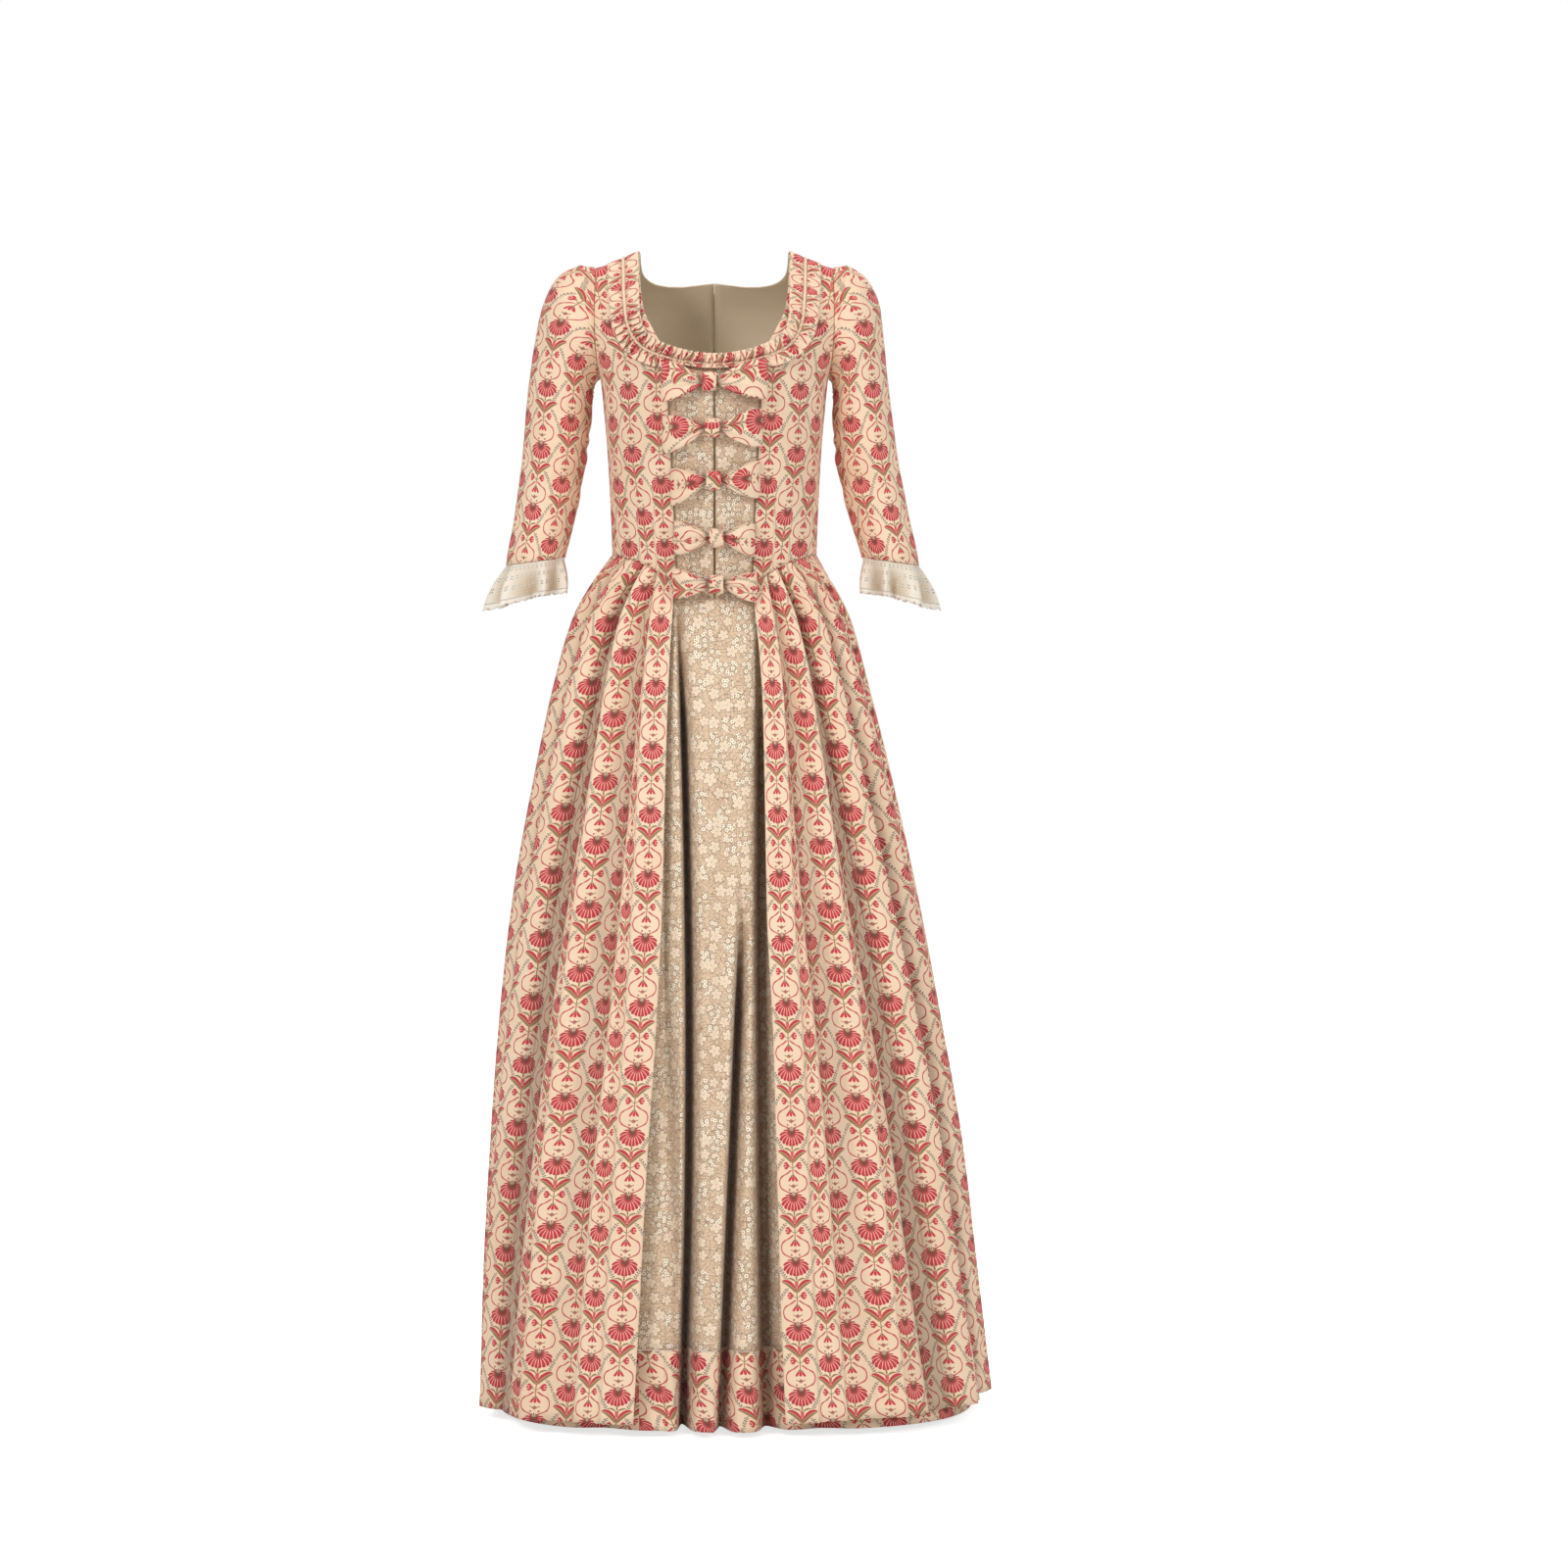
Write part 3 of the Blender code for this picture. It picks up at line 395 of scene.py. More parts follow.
printedCotton = {
    "column": 42.0,  # millimetres between the columns of flowers
    "repeat": 75.5,  # millimetres between flowers down a column
    "ground": colour(244, 217, 187),
    "groundShade": colour(234, 200, 166),
    "red": colour(212, 68, 80),
    "redDark": colour(158, 46, 56),
    "vine": colour(200, 86, 92),
    "olive": colour(152, 124, 84),
    "brown": colour(112, 78, 62),
    "sprig": colour(74, 66, 76),
    # painted shade, mixed in where the cloth lies deep in a fold or crease
    "shade": colour(84, 48, 32),
    "hub": -5.5,
    "flowerHalf": (16.4, 10.4),
    "petalTurn": 0.43,
    "leaf": (
        (0, 28.4), (2, 25.8), (4, 23.6), (7.5, 20.6), (10, 19.0), (14, 17.2), (17, 16.5), (20, 16.8),
        (21, 17.0)
    ),
    "leafHalf": (
        (0, 1.8), (2, 3.5), (4, 4.5), (7.5, 4.5), (10, 4.1), (14, 3.0), (17, 1.9), (20.4, 0), (21, 0)
    ),
    "horn": ((0, 20), (1.5, 17), (3, 15.2), (6, 13.8), (9, 13.2), (11.5, 13.8), (21, 14)),
    "hornHalf": ((0, 0.9), (3, 1.1), (6, 1.1), (9, 0.8), (11.5, 0), (21, 0)),
    "sepal": ((0, 0), (13.4, 0), (17, 1.5), (20, 2.3), (23, 1.7), (26, 0), (75.5, 0)),
    "loop": (
        (0, 0), (36.5, 0.5), (38.8, 3), (42.5, 8), (44.8, 13), (47, 15.6), (49.5, 17.2), (53, 17.8),
        (56.5, 17.2), (60, 14.8), (62.5, 10.5), (64.7, 5), (66, 3.5), (75.5, 0)
    ),
    "loopHalf": (
        (0, 0), (37.5, 1.3), (44, 1.7), (47, 1.2), (50, 0.8), (56, 0.8), (60, 1.4), (64, 1.9), (66, 1.2),
        (75.5, 0)
    ),
    "bell": ((0, 0), (44, 0.5), (46, 1.0), (50, 1.75), (51.3, 1.2), (75.5, 0)),
    "sprigPath": ((0, 21), (6, 17.4), (14, 13), (19, 11.4), (24.4, 12.2), (31, 16.8), (37.8, 21), (75.5, 21)),
}


def makePrintedCotton():
    facts = printedCotton
    chart = Chart("printedCotton")
    where = chart.map.outputs[0]
    u, v, _ = chart.parts(where)
    wander = chart.sub(chart.noise(where, 260.0), 0.5)
    u = chart.add(chart.mul(u, 1000.0), chart.mul(wander, 0.8))
    v = chart.add(chart.mul(v, -1000.0), chart.mul(wander, -0.7))
    column = chart.math("FLOOR", chart.div(u, facts["column"]))
    odd = chart.math("FLOORED_MODULO", column, 2.0)
    x = chart.sub(chart.sub(u, chart.mul(column, facts["column"])), facts["column"] / 2)
    x = chart.math("ABSOLUTE", x)
    repeat = facts["repeat"]
    # 0 at a flower's middle
    y = chart.math("FLOORED_MODULO", chart.add(v, chart.mul(odd, repeat / 2)), repeat)
    # negative over the flower
    above = chart.sub(y, chart.mul(chart.math("GREATER_THAN", y, repeat * 0.76), repeat))

    # the flower: petals fall from a hub near its top, like a fountain
    wide, tall = facts["flowerHalf"]
    drop = chart.sub(above, facts["hub"])
    angle = chart.math("ARCTAN2", x, drop)  # 0 straight down
    fromHub = chart.math("SQRT", chart.add(chart.mul(x, x), chart.mul(drop, drop)))
    a, b = chart.div(x, wide), chart.div(above, tall)
    rim = chart.math("SQRT", chart.add(chart.mul(a, a), chart.mul(b, b)))
    turn = chart.add(angle, chart.mul(chart.mul(rim, 0.5), chart.math("SINE", angle)))
    # 0.5 at the seams
    fold = chart.math("ABSOLUTE", chart.sub(chart.math("FRACT", chart.div(turn, facts["petalTurn"])), 0.5))
    scallop = chart.mul(chart.mul(fold, fold), 0.62)
    petals = chart.both(chart.soft(chart.add(rim, scallop), 1.02, 0.03), chart.soft(angle, 2.5, 0.1))
    seams = chart.sub(
        1.0, chart.soft(fold, chart.sub(0.5, chart.div(1.05, chart.math("MAXIMUM", fromHub, 2.5))), 0.04)
    )
    inner = chart.soft(fromHub, 5.6, 1.6)
    tips = chart.sub(1.0, chart.soft(rim, 0.78, 0.2))
    rays = chart.math("ABSOLUTE", chart.sub(chart.math("FRACT", chart.div(angle, 0.42)), 0.48))
    crown = chart.both(
        chart.soft(fromHub, 6.8, 0.4), chart.sub(1.0, chart.soft(angle, 2.0, 0.1)),
        chart.soft(rays, 0.30, 0.1)
    )
    crown = chart.either(crown, chart.soft(fromHub, 2.4, 0.5))

    # leaves arching out from the stem, red above and olive below
    leafMiddle = chart.curve(x, facts["leaf"], 21, 40)
    leafHalf = chart.curve(x, facts["leafHalf"], 21, 5)
    aside = chart.sub(y, leafMiddle)
    teeth = chart.math("PINGPONG", chart.add(x, chart.mul(aside, 0.5)), 1.1)
    edge = chart.sub(leafHalf, chart.mul(chart.both(teeth, chart.soft(aside, 0.0, 0.2)), 0.55))
    leaf = chart.soft(chart.sub(chart.math("ABSOLUTE", aside), edge), 0.0, 0.25)
    leafRed = chart.both(leaf, chart.soft(aside, 0.1, 0.2))
    leafNick = chart.both(leafRed, chart.soft(teeth, 0.35, 0.15), chart.soft(aside, -1.0, 0.4))
    leafVein = chart.both(leaf, chart.soft(chart.math("ABSOLUTE", chart.sub(aside, 0.35)), 0.32, 0.15))
    horn = chart.sub(
        chart.math("ABSOLUTE", chart.sub(y, chart.curve(x, facts["horn"], 21, 25))),
        chart.curve(x, facts["hornHalf"], 21, 2)
    )
    horn = chart.soft(horn, 0.0, 0.25)
    sepal = chart.sub(x, chart.curve(y, facts["sepal"], repeat, 4))
    sepal = chart.both(chart.soft(sepal, 0.0, 0.25), chart.span(y, 13.5, 26.0, 0.3))
    stem = chart.either(
        chart.both(chart.soft(x, 0.95, 0.25), chart.span(y, 9.2, 15.0, 0.3)),
        chart.both(chart.soft(x, 0.6, 0.2), chart.span(y, 25.0, 44.0, 0.3)),
    )
    loop = chart.sub(
        chart.math("ABSOLUTE", chart.sub(x, chart.curve(y, facts["loop"], repeat, 20))),
        chart.curve(y, facts["loopHalf"], repeat, 2)
    )
    loop = chart.both(chart.soft(loop, 0.0, 0.25), chart.span(y, 38.2, 65.6, 0.3))

    # a tulip each side, three hanging bells, a bud and two berries
    tulip = chart.oval(x, y, 8.8, 33.1, 3.4, 4.3, 0.1)
    aslant = chart.math("ABSOLUTE", chart.sub(y, 33.1))
    notch = chart.soft(
        chart.math("ABSOLUTE", chart.sub(aslant, chart.add(1.1, chart.mul(chart.sub(x, 8.8), 0.22)))), 0.42,
        0.15
    )
    notch = chart.both(notch, chart.sub(1.0, chart.soft(x, 8.3, 0.5)))
    foot = chart.either(
        chart.oval(x, y, 5.7, 33.1, 1.7, 1.7, 0.15),
        chart.both(
            chart.soft(chart.math("ABSOLUTE", chart.add(chart.sub(y, 36.3), chart.mul(x, 0.6))), 0.5, 0.2),
            chart.soft(x, 5.4, 0.3)
        ),
    )
    bellHalf = chart.curve(y, facts["bell"], repeat, 4)
    lean = chart.math("ABSOLUTE", chart.sub(x, chart.add(chart.mul(chart.sub(y, 44.5), 0.55), 1.6)))
    bells = chart.soft(chart.sub(chart.math("MINIMUM", x, lean), bellHalf), 0.0, 0.2)
    bells = chart.both(bells, chart.span(y, 43.6, 51.3, 0.25))
    bellTops = chart.both(bells, chart.soft(y, 46.0, 0.6))
    bud = chart.soft(
        chart.add(chart.div(x, 3.6), chart.div(chart.math("ABSOLUTE", chart.sub(y, 56.9)), 2.5)), 1.0, 0.12
    )
    wings = chart.soft(chart.math("ABSOLUTE", chart.add(chart.sub(y, 57.7), chart.mul(x, 0.38))), 0.5, 0.2)
    wings = chart.both(wings, chart.span(x, 2.0, 6.0, 0.3))
    berries = chart.oval(x, y, 5.1, 61.3, 1.25, 1.25, 0.25)

    # tiny dark sprigs that zigzag between the columns
    across = chart.mul(chart.sub(x, chart.curve(y, facts["sprigPath"], repeat, 24)), 0.85)
    onPath = chart.either(chart.span(y, -0.5, 14.0, 0.4), chart.span(y, 24.4, 38.2, 0.4))
    flip = chart.math("GREATER_THAN", across, 0.0)
    beside = chart.math("ABSOLUTE", across)
    step = chart.math(
        "FLOORED_MODULO", chart.add(chart.add(y, chart.mul(flip, 1.35)), chart.mul(beside, 0.7)), 2.7
    )
    leaflets = chart.both(
        chart.soft(chart.math("ABSOLUTE", chart.sub(step, 1.3)), 0.6, 0.15),
        chart.span(beside, 0.5, 2.2, 0.15)
    )
    sprig = chart.either(leaflets, chart.mul(chart.soft(beside, 0.3, 0.15), 0.6))
    sprig = chart.both(sprig, onPath)

    red = chart.paint(facts["red"], facts["redDark"], chart.mul(chart.noise(where, 700.0), 0.35))
    tone = chart.paint(
        facts["ground"], facts["groundShade"], chart.mul(chart.sub(chart.noise(where, 9.0, 3.0), 0.35), 1.5)
    )
    tone = chart.paint(tone, facts["sprig"], sprig)
    tone = chart.paint(tone, facts["vine"], loop)
    tone = chart.paint(tone, facts["olive"], chart.either(stem, horn, foot, wings))
    tone = chart.paint(tone, facts["olive"], leaf)
    tone = chart.paint(tone, red, chart.either(leafRed, chart.mul(sepal, 0.8)))
    tone = chart.paint(tone, facts["redDark"], chart.mul(leafNick, 0.6))
    tone = chart.paint(tone, facts["ground"], chart.mul(leafVein, 0.5))
    tone = chart.paint(tone, red, chart.either(tulip, bells))
    tone = chart.paint(tone, facts["ground"], chart.mul(chart.both(tulip, notch), 0.85))
    tone = chart.paint(tone, facts["brown"], chart.mul(bellTops, 0.85))
    tone = chart.paint(tone, facts["redDark"], chart.mul(chart.either(bud, berries), 0.8))
    tone = chart.paint(tone, red, petals)
    tone = chart.paint(tone, facts["redDark"], chart.mul(chart.both(petals, tips), 0.4))
    tone = chart.paint(
        tone, facts["ground"], chart.mul(chart.both(petals, seams, chart.sub(1.0, inner)), 0.85)
    )
    tone = chart.paint(tone, facts["brown"], chart.mul(chart.both(petals, seams, inner), 0.9))
    tone = chart.paint(tone, facts["brown"], chart.mul(crown, 0.85))
    # painted shade: darker where the cloth lies deep in a fold or crease
    tone = chart.paint(tone, facts["shade"], chart.paintedShade(0.46))
    chart.bump(chart.noise(where, 1900.0, 1.0), 0.15, 0.0004)
    chart.finish(tone, 0.82, 0.10)
    finishes["printedCotton"] = chart.material


floweredCotton = {
    "cell": 0.0170,  # metres between the leaves and flower heads
    "ground": colour(230, 202, 172),
    "groundShade": colour(218, 188, 154),
    "leaf": colour(249, 229, 202),
    "flower": colour(255, 243, 220),
    "line": colour(104, 70, 50),
    "centre": colour(196, 72, 84),
    # painted shade, mixed in where the cloth lies deep in a flute or beside an edge
    "shade": colour(92, 56, 34),
}


def makeFloweredCotton():
    facts = floweredCotton
    chart = Chart("floweredCotton")
    where = chart.map.outputs[0]

    def scatter(size, loose):  # each cell's own turned x and y in metres, and its two random numbers
        cell = chart.nodes.new("ShaderNodeTexVoronoi")
        cell.voronoi_dimensions = "2D"
        cell.inputs["Scale"].default_value = 1 / size
        cell.inputs["Randomness"].default_value = loose
        chart.feed(cell.inputs["Vector"], where)
        gone = chart.nodes.new("ShaderNodeVectorMath")
        gone.operation = "SUBTRACT"
        chart.feed(gone.inputs[0], where)
        chart.feed(gone.inputs[1], cell.outputs["Position"])
        x, y, _ = chart.parts(gone.outputs[0])
        first, second, third = chart.parts(cell.outputs["Color"])
        far = chart.math("SQRT", chart.add(chart.mul(x, x), chart.mul(y, y)))
        return far, chart.add(chart.math("ARCTAN2", x, y), chart.mul(first, 6.28)), second, third

    def lobed(far, angle, count, size, depth):  # less than 0 inside a shape with lobes
        wave = chart.math("ABSOLUTE", chart.math("COSINE", chart.mul(angle, count / 2)))
        return chart.sub(
            far, chart.mul(chart.add(1 - depth, chart.mul(chart.math("POWER", wave, 0.7), depth)), size)
        )

    far, angle, kind, other = scatter(facts["cell"], 0.85)
    isLeaf = chart.math("GREATER_THAN", kind, 0.48)
    leaf = lobed(far, angle, 5, chart.add(0.0072, chart.mul(other, 0.0028)), 0.58)
    leafTeeth = chart.mul(chart.math("ABSOLUTE", chart.math("SINE", chart.mul(angle, 8.5))), 0.0013)
    leaf = chart.add(leaf, leafTeeth)
    cluster = chart.both(chart.sub(1.0, isLeaf), chart.soft(far, 0.0090, 0.0002))
    near, petalAngle, _, petalOther = scatter(0.0068, 0.8)
    flower = lobed(near, petalAngle, 5, 0.0033, 0.45)
    inLeaf = chart.both(isLeaf, chart.soft(leaf, 0.0, 0.0002))
    inFlower = chart.both(cluster, chart.soft(flower, 0.0, 0.0002))
    leafEdge = chart.both(isLeaf, chart.soft(chart.math("ABSOLUTE", leaf), 0.00040, 0.0002))
    veins = chart.math("ABSOLUTE", chart.math("SINE", chart.mul(angle, 2.5)))
    veins = chart.both(
        inLeaf, chart.soft(chart.mul(veins, far), 0.0005, 0.0003), chart.soft(far, 0.006, 0.001)
    )
    flowerEdge = chart.both(cluster, chart.soft(chart.math("ABSOLUTE", flower), 0.00036, 0.0002))
    middle = chart.both(inFlower, chart.soft(near, 0.00075, 0.0002))
    redMiddle = chart.both(middle, chart.math("GREATER_THAN", petalOther, 0.72))
    loops = chart.math("ABSOLUTE", chart.sub(chart.noise(where, 150.0, 0.0), 0.5))
    loopsTwo = chart.math("ABSOLUTE", chart.sub(chart.noise(where, 236.0, 0.0), 0.47))
    vermicelli = chart.either(
        chart.soft(loops, 0.026, 0.014), chart.mul(chart.soft(loopsTwo, 0.028, 0.014), 0.9)
    )
    vermicelli = chart.both(vermicelli, chart.sub(1.0, chart.either(inLeaf, inFlower)))

    tone = chart.paint(
        facts["ground"], facts["groundShade"], chart.mul(chart.sub(chart.noise(where, 14.0, 3.0), 0.35), 1.5)
    )
    tone = chart.paint(tone, facts["line"], chart.mul(vermicelli, 0.54))
    tone = chart.paint(tone, facts["leaf"], chart.mul(inLeaf, 0.92))
    tone = chart.paint(tone, facts["flower"], inFlower)
    tone = chart.paint(
        tone, facts["line"], chart.mul(chart.either(leafEdge, flowerEdge, chart.mul(veins, 0.6)), 0.8)
    )
    tone = chart.paint(tone, facts["line"], chart.mul(middle, 0.8))
    tone = chart.paint(tone, facts["centre"], redMiddle)
    # painted shade: darker in flutes and beside the gown's edges
    tone = chart.paint(tone, facts["shade"], chart.paintedShade(0.72))
    chart.bump(chart.noise(where, 1900.0, 1.0), 0.15, 0.0004)
    chart.finish(tone, 0.8, 0.12)
    finishes["floweredCotton"] = chart.material


eyeletLace = {
    "thread": colour(246, 238, 224),
    # used for the net's random mottling and for painted shade in the flutes' valleys
    "shade": colour(204, 180, 148),
    # painted shade: the dark seen through each eyelet, in place of real holes
    "hole": colour(112, 92, 68),
    "cluster": 0.0130,  # metres between the groups of four eyelets
    "hem": 0.052,
    "scallops": 22,
    "round": 0.598,  # metres of lace round a sleeve, as the pattern counts them
}


def makeEyeletLace():
    facts = eyeletLace
    chart = Chart("eyeletLace")
    where = chart.map.outputs[0]
    u, v, _ = chart.parts(where)
    size = facts["cluster"]
    row = chart.math("FLOOR", chart.div(v, size))
    shift = chart.mul(chart.math("FLOORED_MODULO", row, 2.0), 0.5)
    x = chart.mul(chart.sub(chart.math("FRACT", chart.add(chart.div(u, size), shift)), 0.5), size)
    y = chart.mul(chart.sub(chart.math("FRACT", chart.div(v, size)), 0.5), size)
    inward = chart.sub(chart.math("ABSOLUTE", x), 0.0017), chart.sub(chart.math("ABSOLUTE", y), 0.0017)
    far = chart.math("SQRT", chart.add(chart.mul(inward[0], inward[0]), chart.mul(inward[1], inward[1])))
    # a row of small eyelets follows the scalloped edge
    edge = chart.add(
        chart.add(v, facts["hem"]),
        chart.mul(
            chart.math(
                "ABSOLUTE", chart.math("SINE", chart.mul(u, facts["scallops"] * 2 * math.pi / facts["round"]))
            ),
            -0.0030
        )
    )
    along = chart.mul(chart.sub(chart.math("FRACT", chart.div(u, 0.0026)), 0.5), 0.0026)
    off = chart.sub(edge, 0.0042)
    farEdge = chart.math("SQRT", chart.add(chart.mul(along, along), chart.mul(off, off)))
    inField = chart.sub(1.0, chart.soft(edge, 0.0085, 0.0005))
    hole = chart.either(
        chart.both(chart.soft(far, 0.00105, 0.0002), inField), chart.soft(farEdge, 0.0007, 0.00015)
    )
    rim = chart.either(
        chart.both(chart.soft(far, 0.0018, 0.0002), inField), chart.soft(farEdge, 0.0012, 0.0002)
    )
    border = chart.soft(edge, 0.0030, 0.0003)
    whipped = chart.math("ABSOLUTE", chart.math("SINE", chart.mul(u, math.pi / 0.0011)))
    net = chart.noise(where, 1500.0, 1.0)
    # random mottling of the net, plus painted shade where the lace folds inwards
    tone = chart.paint(facts["thread"], facts["shade"], chart.add(chart.mul(net, 0.3), chart.paintedShade(0.75)))
    tone = chart.paint(tone, facts["thread"], chart.either(rim, border))
    # painted shade in the eyelet holes
    tone = chart.paint(tone, facts["hole"], chart.mul(hole, 0.9))
    relief = chart.add(chart.mul(chart.sub(rim, hole), 0.6), chart.mul(chart.both(border, whipped), 0.6))
    chart.bump(chart.add(relief, chart.mul(net, 0.3)), 0.5, 0.0005)
    chart.finish(tone, 0.85, 0.1)
    finishes["eyeletLace"] = chart.material


liningCotton = {"tone": colour(238, 222, 196), "shade": colour(214, 190, 156)}


def makeLiningCotton():
    chart = Chart("liningCotton")
    where = chart.map.outputs[0]
    u, v, _ = chart.parts(where)
    slubs = chart.noise(chart.vector(chart.mul(u, 900.0), chart.mul(v, 90.0)), 1.0)
    tone = chart.paint(
        liningCotton["tone"], liningCotton["shade"],
        chart.add(chart.mul(slubs, 0.35), chart.mul(chart.noise(where, 12.0), 0.3))
    )
    chart.bump(chart.noise(where, 1700.0, 1.0), 0.2, 0.0004)
    chart.finish(tone, 0.88, 0.08)
    finishes["liningCotton"] = chart.material


makeLiningCotton()
makePrintedCotton()
makeFloweredCotton()
makeEyeletLace()
print("finishes made")

# The body of the gown: rings round the torso from the waist to the ridge of the shoulders

torso = {
    "squareness": 2.3,
    "dip": 1.5,
    "armpit": 5,
    "backNeck": 9,
    "ridge": 12,
    "rings": table(
        ("ring", "centreZ", "backZ", "sideZ", "halfWidth", "frontDepth", "backDepth", "frontEdge", "armhole"),
        (
            (0, -0.4377, -0.3800, -0.3692, 0.1250, 0.0985, 0.0930, 0.0465, 0.1250),
            (1, -0.3720, -0.3380, -0.3310, 0.1262, 0.1085, 0.0950, 0.0480, 0.1262),
            (2, -0.3120, -0.2950, -0.2900, 0.1280, 0.1180, 0.0990, 0.0505, 0.1280),
            (3, -0.2550, -0.2480, -0.2450, 0.1305, 0.1280, 0.1050, 0.0530, 0.1305),
            (4, -0.2050, -0.2000, -0.1980, 0.1345, 0.1340, 0.1110, 0.0555, 0.1345),
            (5, -0.1650, -0.1600, -0.1560, 0.1390, 0.1320, 0.1160, 0.0570, 0.1390),
            (6, -0.1310, -0.1310, -0.1330, 0.1470, 0.1250, 0.1180, 0.0580, 0.1425),
            (7, -0.1000, -0.1000, -0.1050, 0.1557, 0.1150, 0.1160, 0.0720, 0.1445),
            (8, -0.0660, -0.0660, -0.0790, 0.1610, 0.0980, 0.1090, 0.0850, 0.1450),
            (9, -0.0320, -0.0320, -0.0580, 0.1642, 0.0760, 0.0920, 0.0890, 0.1450),
            (10, 0.0100, 0.0100, -0.0400, 0.1669, 0.0470, 0.0600, 0.0905, 0.1445),
            (11, 0.0490, 0.0490, -0.0268, 0.1678, 0.0240, 0.0300, 0.0910, 0.1440),
            (12, 0.0540, 0.0540, -0.0242, 0.1680, 0.0008, 0.0008, 0.0910, 0.1440),
        ),
    ),
}
ringSteps = 20
fineRings = [read(torso["rings"], i / ringSteps) for i in range(torso["ridge"] * ringSteps + 1)]


def torsoRing(number):
    number = min(max(number, 0.0), torso["ridge"]) * ringSteps
    i = min(int(number), len(fineRings) - 2)
    a, b, t = fineRings[i], fineRings[i + 1], number - i
    return {name: a[name] + (b[name] - a[name]) * t for name in a}


def torsoPoint(x, number, back=False):
    ring = torsoRing(number)
    share = min(abs(x) / ring["halfWidth"], 1.0)
    y = ring["backDepth" if back else "frontDepth"] * (1 - share ** torso["squareness"]) ** (
        1 / torso["squareness"]
    )
    middle = ring["backZ" if back else "centreZ"]
    z = ring["sideZ"] + (middle - ring["sideZ"]) * (1 - share) ** torso["dip"]
    return Vector((x, y if back else -y, z))


def torsoNumber(x, z, back=False):
    low, high = 0.0, torso["ridge"] - 0.02
    for _ in range(16):
        middle = (low + high) / 2
        if torsoPoint(x, middle, back).z < z:
            low = middle
        else:
            high = middle
    return low


def torsoNormal(x, number, back=False):
    across = torsoPoint(x + 0.002, number, back) - torsoPoint(x - 0.002, number, back)
    up = torsoPoint(x, number + 0.06, back) - torsoPoint(x, max(number - 0.06, 0), back)
    normal = across.cross(up).normalized()
    return -normal if (normal.y > 0) != back else normal


def torsoAt(x, z, back=False):  # the bodice's surface at x and z, and its outward direction
    number = torsoNumber(x, z, back)
    return torsoPoint(x, number, back), torsoNormal(x, number, back)


def ringTurn(x, halfWidth):
    return math.asin(min(abs(x) / halfWidth, 1.0) ** (torso["squareness"] / 2))


def ringX(turn, halfWidth):
    return halfWidth * math.sin(turn) ** (2 / torso["squareness"])


# Bodice fronts and backs

bodice = {
    "frontCut": (0.150, 0.405, 0.0485),
    "backCut": (0.182, 0.392, 0.0660),
    "rows": 104,
    "frontColumns": 44,
    "backColumns": 34,
    "printAcross": 0.007,  # how far the first column of flowers stands from the front edge
    "printDown": -0.0156,
    # darts: distance from the front edge at the waist, width that the dart takes, height where it ends
    "darts": ((0.027, 0.016, -0.235), (0.052, 0.012, -0.250)),
}


def dartShift(along, z):
    shift = 0.0
    for place, width, top in bodice["darts"]:
        size = width * ease((top - z) / 0.13)
        shift += size * ease((along - place + 0.0015) / 0.003)
    return shift


def bodicePanel(side, back):
    rows, marks = [], []
    count = bodice["backColumns" if back else "frontColumns"]
    total = bodice["rows"]
    for r in range(total):
        number = torso["ridge"] * r / (total - 1)
        ring = torsoRing(number)
        inner = ring["frontEdge"]
        if back:
            inner = 0.0004
            if number > torso["backNeck"]:
                up = (number - torso["backNeck"]) / (torso["ridge"] - torso["backNeck"])
                inner = max(inner, ring["frontEdge"] * (1 - (1 - up) ** 7) ** 0.5)
        start = ringTurn(inner, ring["halfWidth"])
        end = min(ringTurn(ring["armhole"], ring["halfWidth"]), math.radians(89.9))
        row, mark, along, before = [], [], 0.0, None
        for c in range(count):
            turn = start + (end - start) * c / (count - 1)
            point = torsoPoint(side * ringX(turn, ring["halfWidth"]), number, back)
            along += 0.0 if before is None else (point - before).length
            before = point
            row.append(point)
            shift = 0.0 if back else dartShift(along, point.z)
            mark.append((along + shift + bodice["printAcross"], point.z + bodice["printDown"]))
        rows.append(row)
        marks.append(mark)
    name = f"bodice_{'back' if back else 'front'}_{sideName(side)}"
    clothPiece(
        name, rows, marks, "printedCotton",
        wall=0.0016, offset=side if back else -side, inside="liningCotton"
    )


def makeBodice():
    for side in (-1, 1):
        for back in (False, True):
            bodicePanel(side, back)


makeBodice()
print("bodice made")

# Stomacher

stomacher = {
    "cut": (0.066, 0.292, 0.0162), "underlap": 0.0070, "parting": 0.0011, "inset": 0.0024, "columns": 22,
    "rows": 70, "top": 5.98, "foot": 0.2
}


def makeStomacher():
    for side in (-1, 1):
        rows, marks, paintedShades = [], [], []
        for r in range(stomacher["rows"]):
            number = stomacher["foot"] + (stomacher["top"] - stomacher["foot"]) * r / (stomacher["rows"] - 1)
            reach = torsoRing(number)["frontEdge"] + stomacher["underlap"]
            row, mark, paintedShade = [], [], []
            for c in range(stomacher["columns"]):
                x = stomacher["parting"] + (reach - stomacher["parting"]) * c / (stomacher["columns"] - 1)
                point = torsoPoint(side * x, number)
                row.append(point - torsoNormal(side * x, number) * stomacher["inset"])
                mark.append((side * x, point.z))
                # painted shade: darker beside the gown's front edge and at the middle parting
                toGown = reach - stomacher["underlap"] - x
                paintedShade.append(max(ease(1 - toGown / 0.0042), 0.5 * ease(1 - x / 0.0034)))
            rows.append(row)
            marks.append(mark)
            paintedShades.append(paintedShade)
        name = f"stomacher_{sideName(side)}"
        clothPiece(
            name, rows, marks, "floweredCotton",
            wall=0.0014, offset=-side, paintedShades=paintedShades
        )


makeStomacher()
print("stomacher made")

# Sleeves

